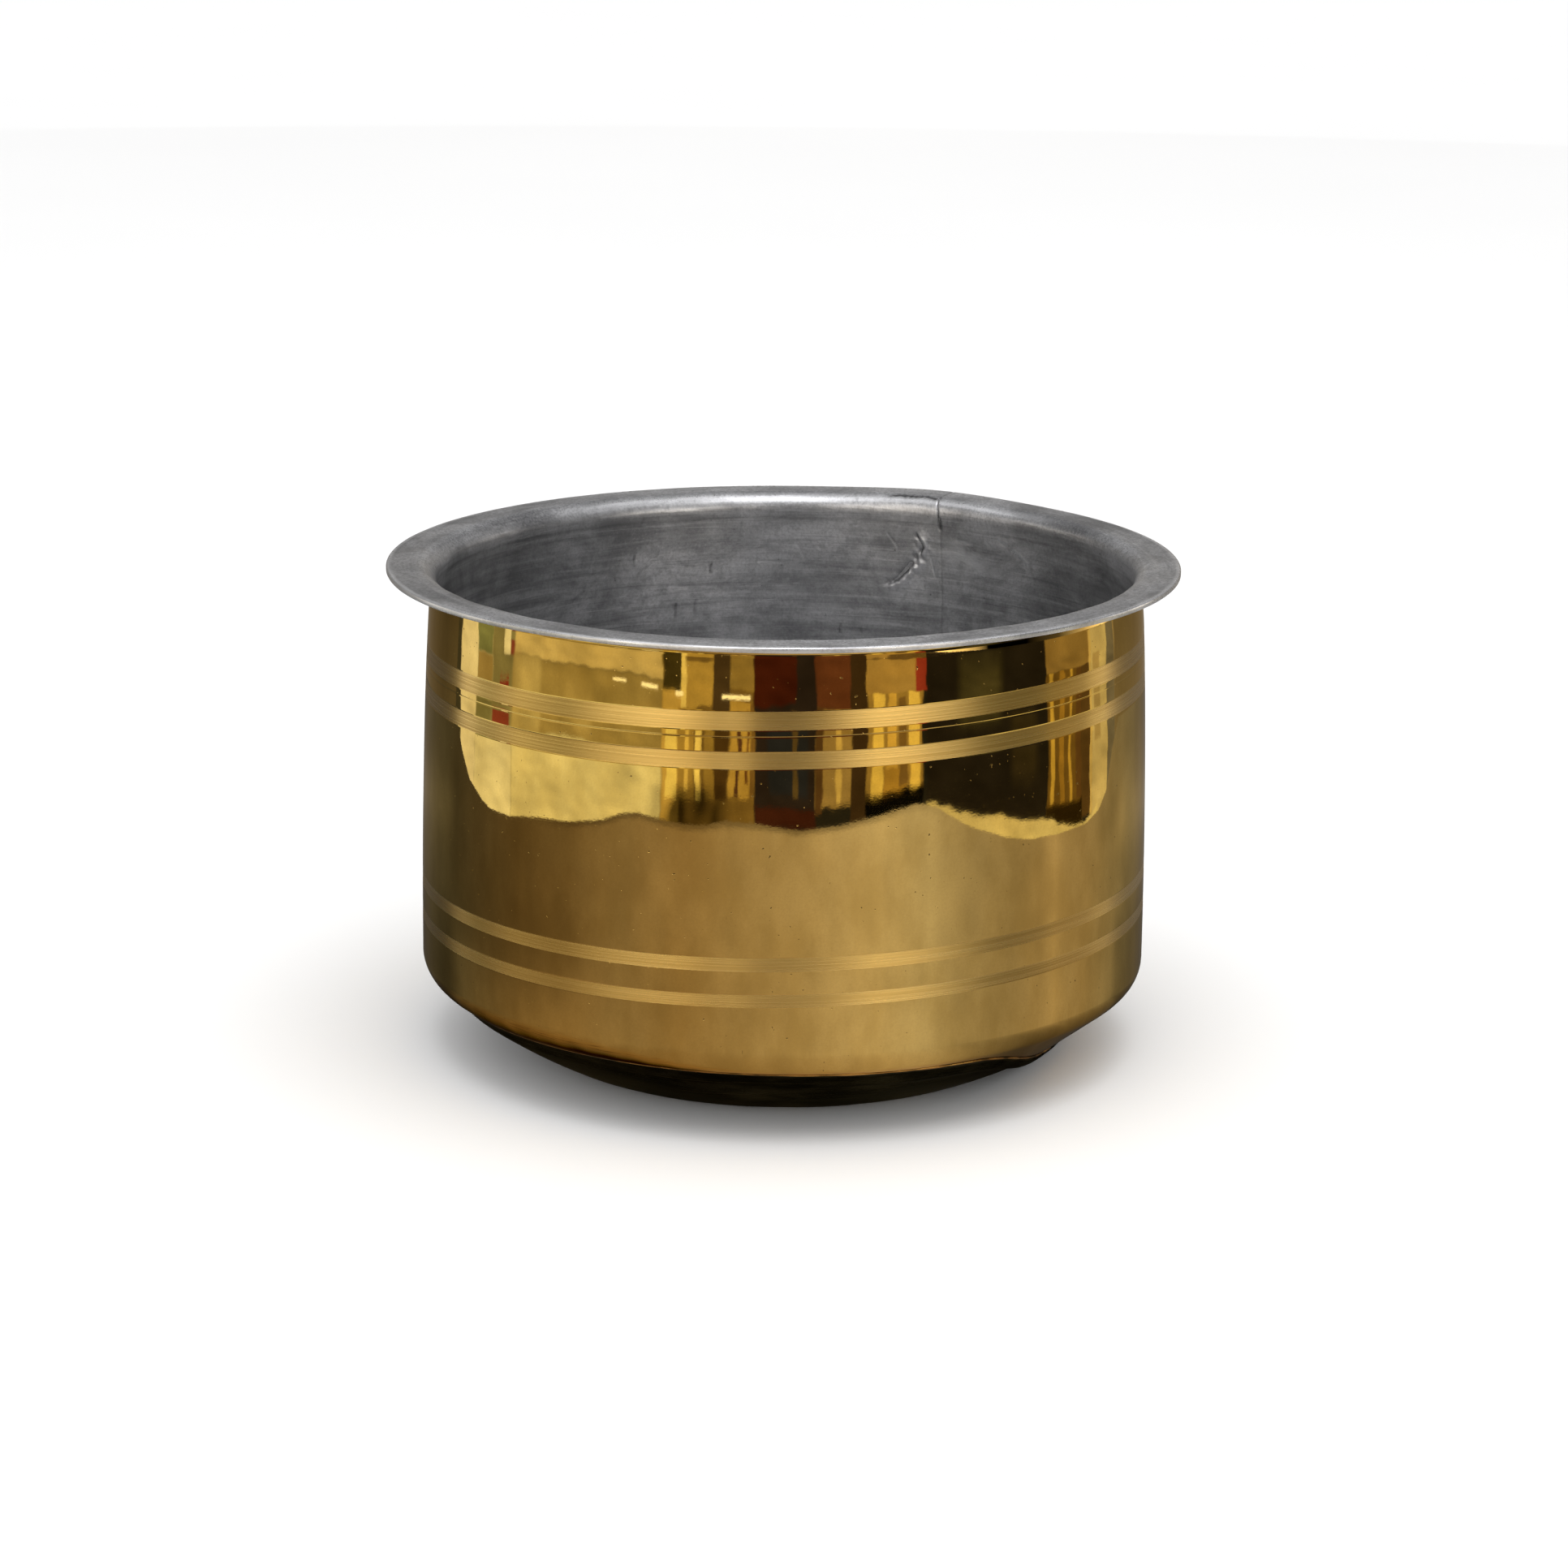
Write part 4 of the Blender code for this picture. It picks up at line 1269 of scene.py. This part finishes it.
def add_table_card():
    """Table round the pot, as polished metal sees it."""
    edge = np.array(TABLE_EDGE, float)
    glow = np.array(TABLE_GLOW, float)
    azimuths = np.arange(-180, 180.1, 1.0)
    top = np.interp(azimuths, edge[:, 0], edge[:, 1])
    shares = np.concatenate([np.linspace(0, 0.85, 40), np.linspace(0.86, 1, 30)])[:, None]
    height = 22 + (top - 22) * shares
    azimuth = np.repeat(azimuths[None, :], len(shares), 0)
    verts = on_table(azimuth, height / 1000)
    level = np.interp(azimuth, glow[:, 0], glow[:, 1])
    warm = np.interp(azimuth, glow[:, 0], glow[:, 2])
    edge_dim = 0.45 * ease(-2.4, -0.4, height - top) * ease(74, 40, np.abs(azimuth + 18))
    level = level * (1 - edge_dim)
    left_foot = ease(0.45, 0.05, shares) * ease(-40, -80, azimuth) * ease(-130, -118, azimuth)
    level = level * (1 + 0.8 * left_foot)
    far = ease(124, 132, np.abs(azimuth))
    level = level * (1 + far * 0.55 * np.exp(-((height - 80) / 12)**2) - far * 0.35 * ease(60, 38, height))
    turn, rise = np.radians(azimuth), height / 1000
    mottle = 0.02 * waves(turn, 0.1 * rise, 91, 0.010, 14) + 0.04 * waves(turn, rise, 92, 0.02, 14)
    level = level * (1 + mottle)
    inner, inner_level, inner_warm = [], [], []
    ring = np.linalg.norm(verts[0, :, :2], axis=1)
    # painted shadow: the rows reaching in under the pot glow dimmer towards it, and much dimmer on the
    # right
    for share in np.linspace(0, 1, 16)[:-1]:
        scale = (0.070 + (ring - 0.070) * share) / ring
        near = verts[0] * scale[:, None]
        near[:, 2] = CARD_Z
        inner.append(near)
        right_shadow_dim = 1 - 0.88 * ease(40, 85, azimuths) * ease(175, 150, azimuths) * (1 - share)**0.6
        inner_level.append(level[0] * (0.75 + 0.25 * share) * right_shadow_dim)
        inner_warm.append(np.clip(warm[0] + 0.3 * (1 - share), 0, 1))
    verts = np.concatenate([np.array(inner), verts])
    level = np.concatenate([np.array(inner_level), level])
    warm = np.concatenate([np.array(inner_warm), warm])
    colours = np.stack([level, level * (1 - 0.27 * warm), level * (1 - 0.55 * warm)], -1)
    faces = grid_faces(len(level), len(azimuths), False)
    glow_card("table_card", verts.reshape(-1, 3), faces, colours.reshape(-1, 3))


def add_dome():
    """Soft surroundings that only reflections see: lamps round the horizon, a soft box overhead."""
    rows, columns = 72, 720
    turn, rise = np.meshgrid(np.linspace(-180, 180, columns, endpoint=False),
                             np.linspace(-90, 90, rows + 1))
    lamps = np.array(LAMPS, float)
    level = np.interp(turn, lamps[:, 0], lamps[:, 1])
    low = -4 - 16 * ease(122, 128, np.abs(turn))
    horizon = ease(low - 10, low, rise) * ease(30, 16, rise)
    upper = 0.12 + 0.16 * ease(120, 170, np.abs(turn))
    key = (2.2 * ease(60, 14, np.abs(turn)) + 0.9 * ease(150, 95, np.abs(turn))) * ease(40, 52, rise)
    above = (upper + key) * ease(12, 26, rise)
    below = 0.05 * ease(0, -14, rise)
    value = level * horizon + above + below
    warm = ease(24, 5, rise)
    colours = value[..., None] * np.stack([np.ones_like(warm), 1 - 0.12 * warm, 1.02 - 0.30 * warm], -1)
    a, e = np.radians(turn), np.radians(rise)
    verts = DOME_RADIUS * np.stack([np.cos(e) * np.sin(a), -np.cos(e) * np.cos(a), np.sin(e)], -1)
    faces = grid_faces(rows + 1, columns, True)
    glow_card("studio_dome", verts.reshape(-1, 3), faces, colours.reshape(-1, 3))


def add_lights():
    scene = bpy.context.scene
    world = bpy.data.worlds.new("studio")
    world.use_nodes = True
    background = world.node_tree.nodes["Background"]
    background.inputs["Color"].default_value = (1, 1, 1, 1)
    background.inputs["Strength"].default_value = 1.12
    scene.world = world
    data = bpy.data.lights.new("softbox_top", "AREA")
    data.size = 1.2
    data.energy = 8
    light = bpy.data.objects.new("softbox_top", data)
    scene.collection.objects.link(light)
    light.location = (0.15, -0.35, 1.5)
    light.rotation_euler = (Vector((0, 0, 0.1)) - light.location).to_track_quat("-Z", "Y").to_euler()
    light.visible_glossy = False


add_camera()
add_floor()
add_room()
add_table_card()
add_dome()
add_lights()
bpy.context.scene.view_settings.view_transform = "Standard"
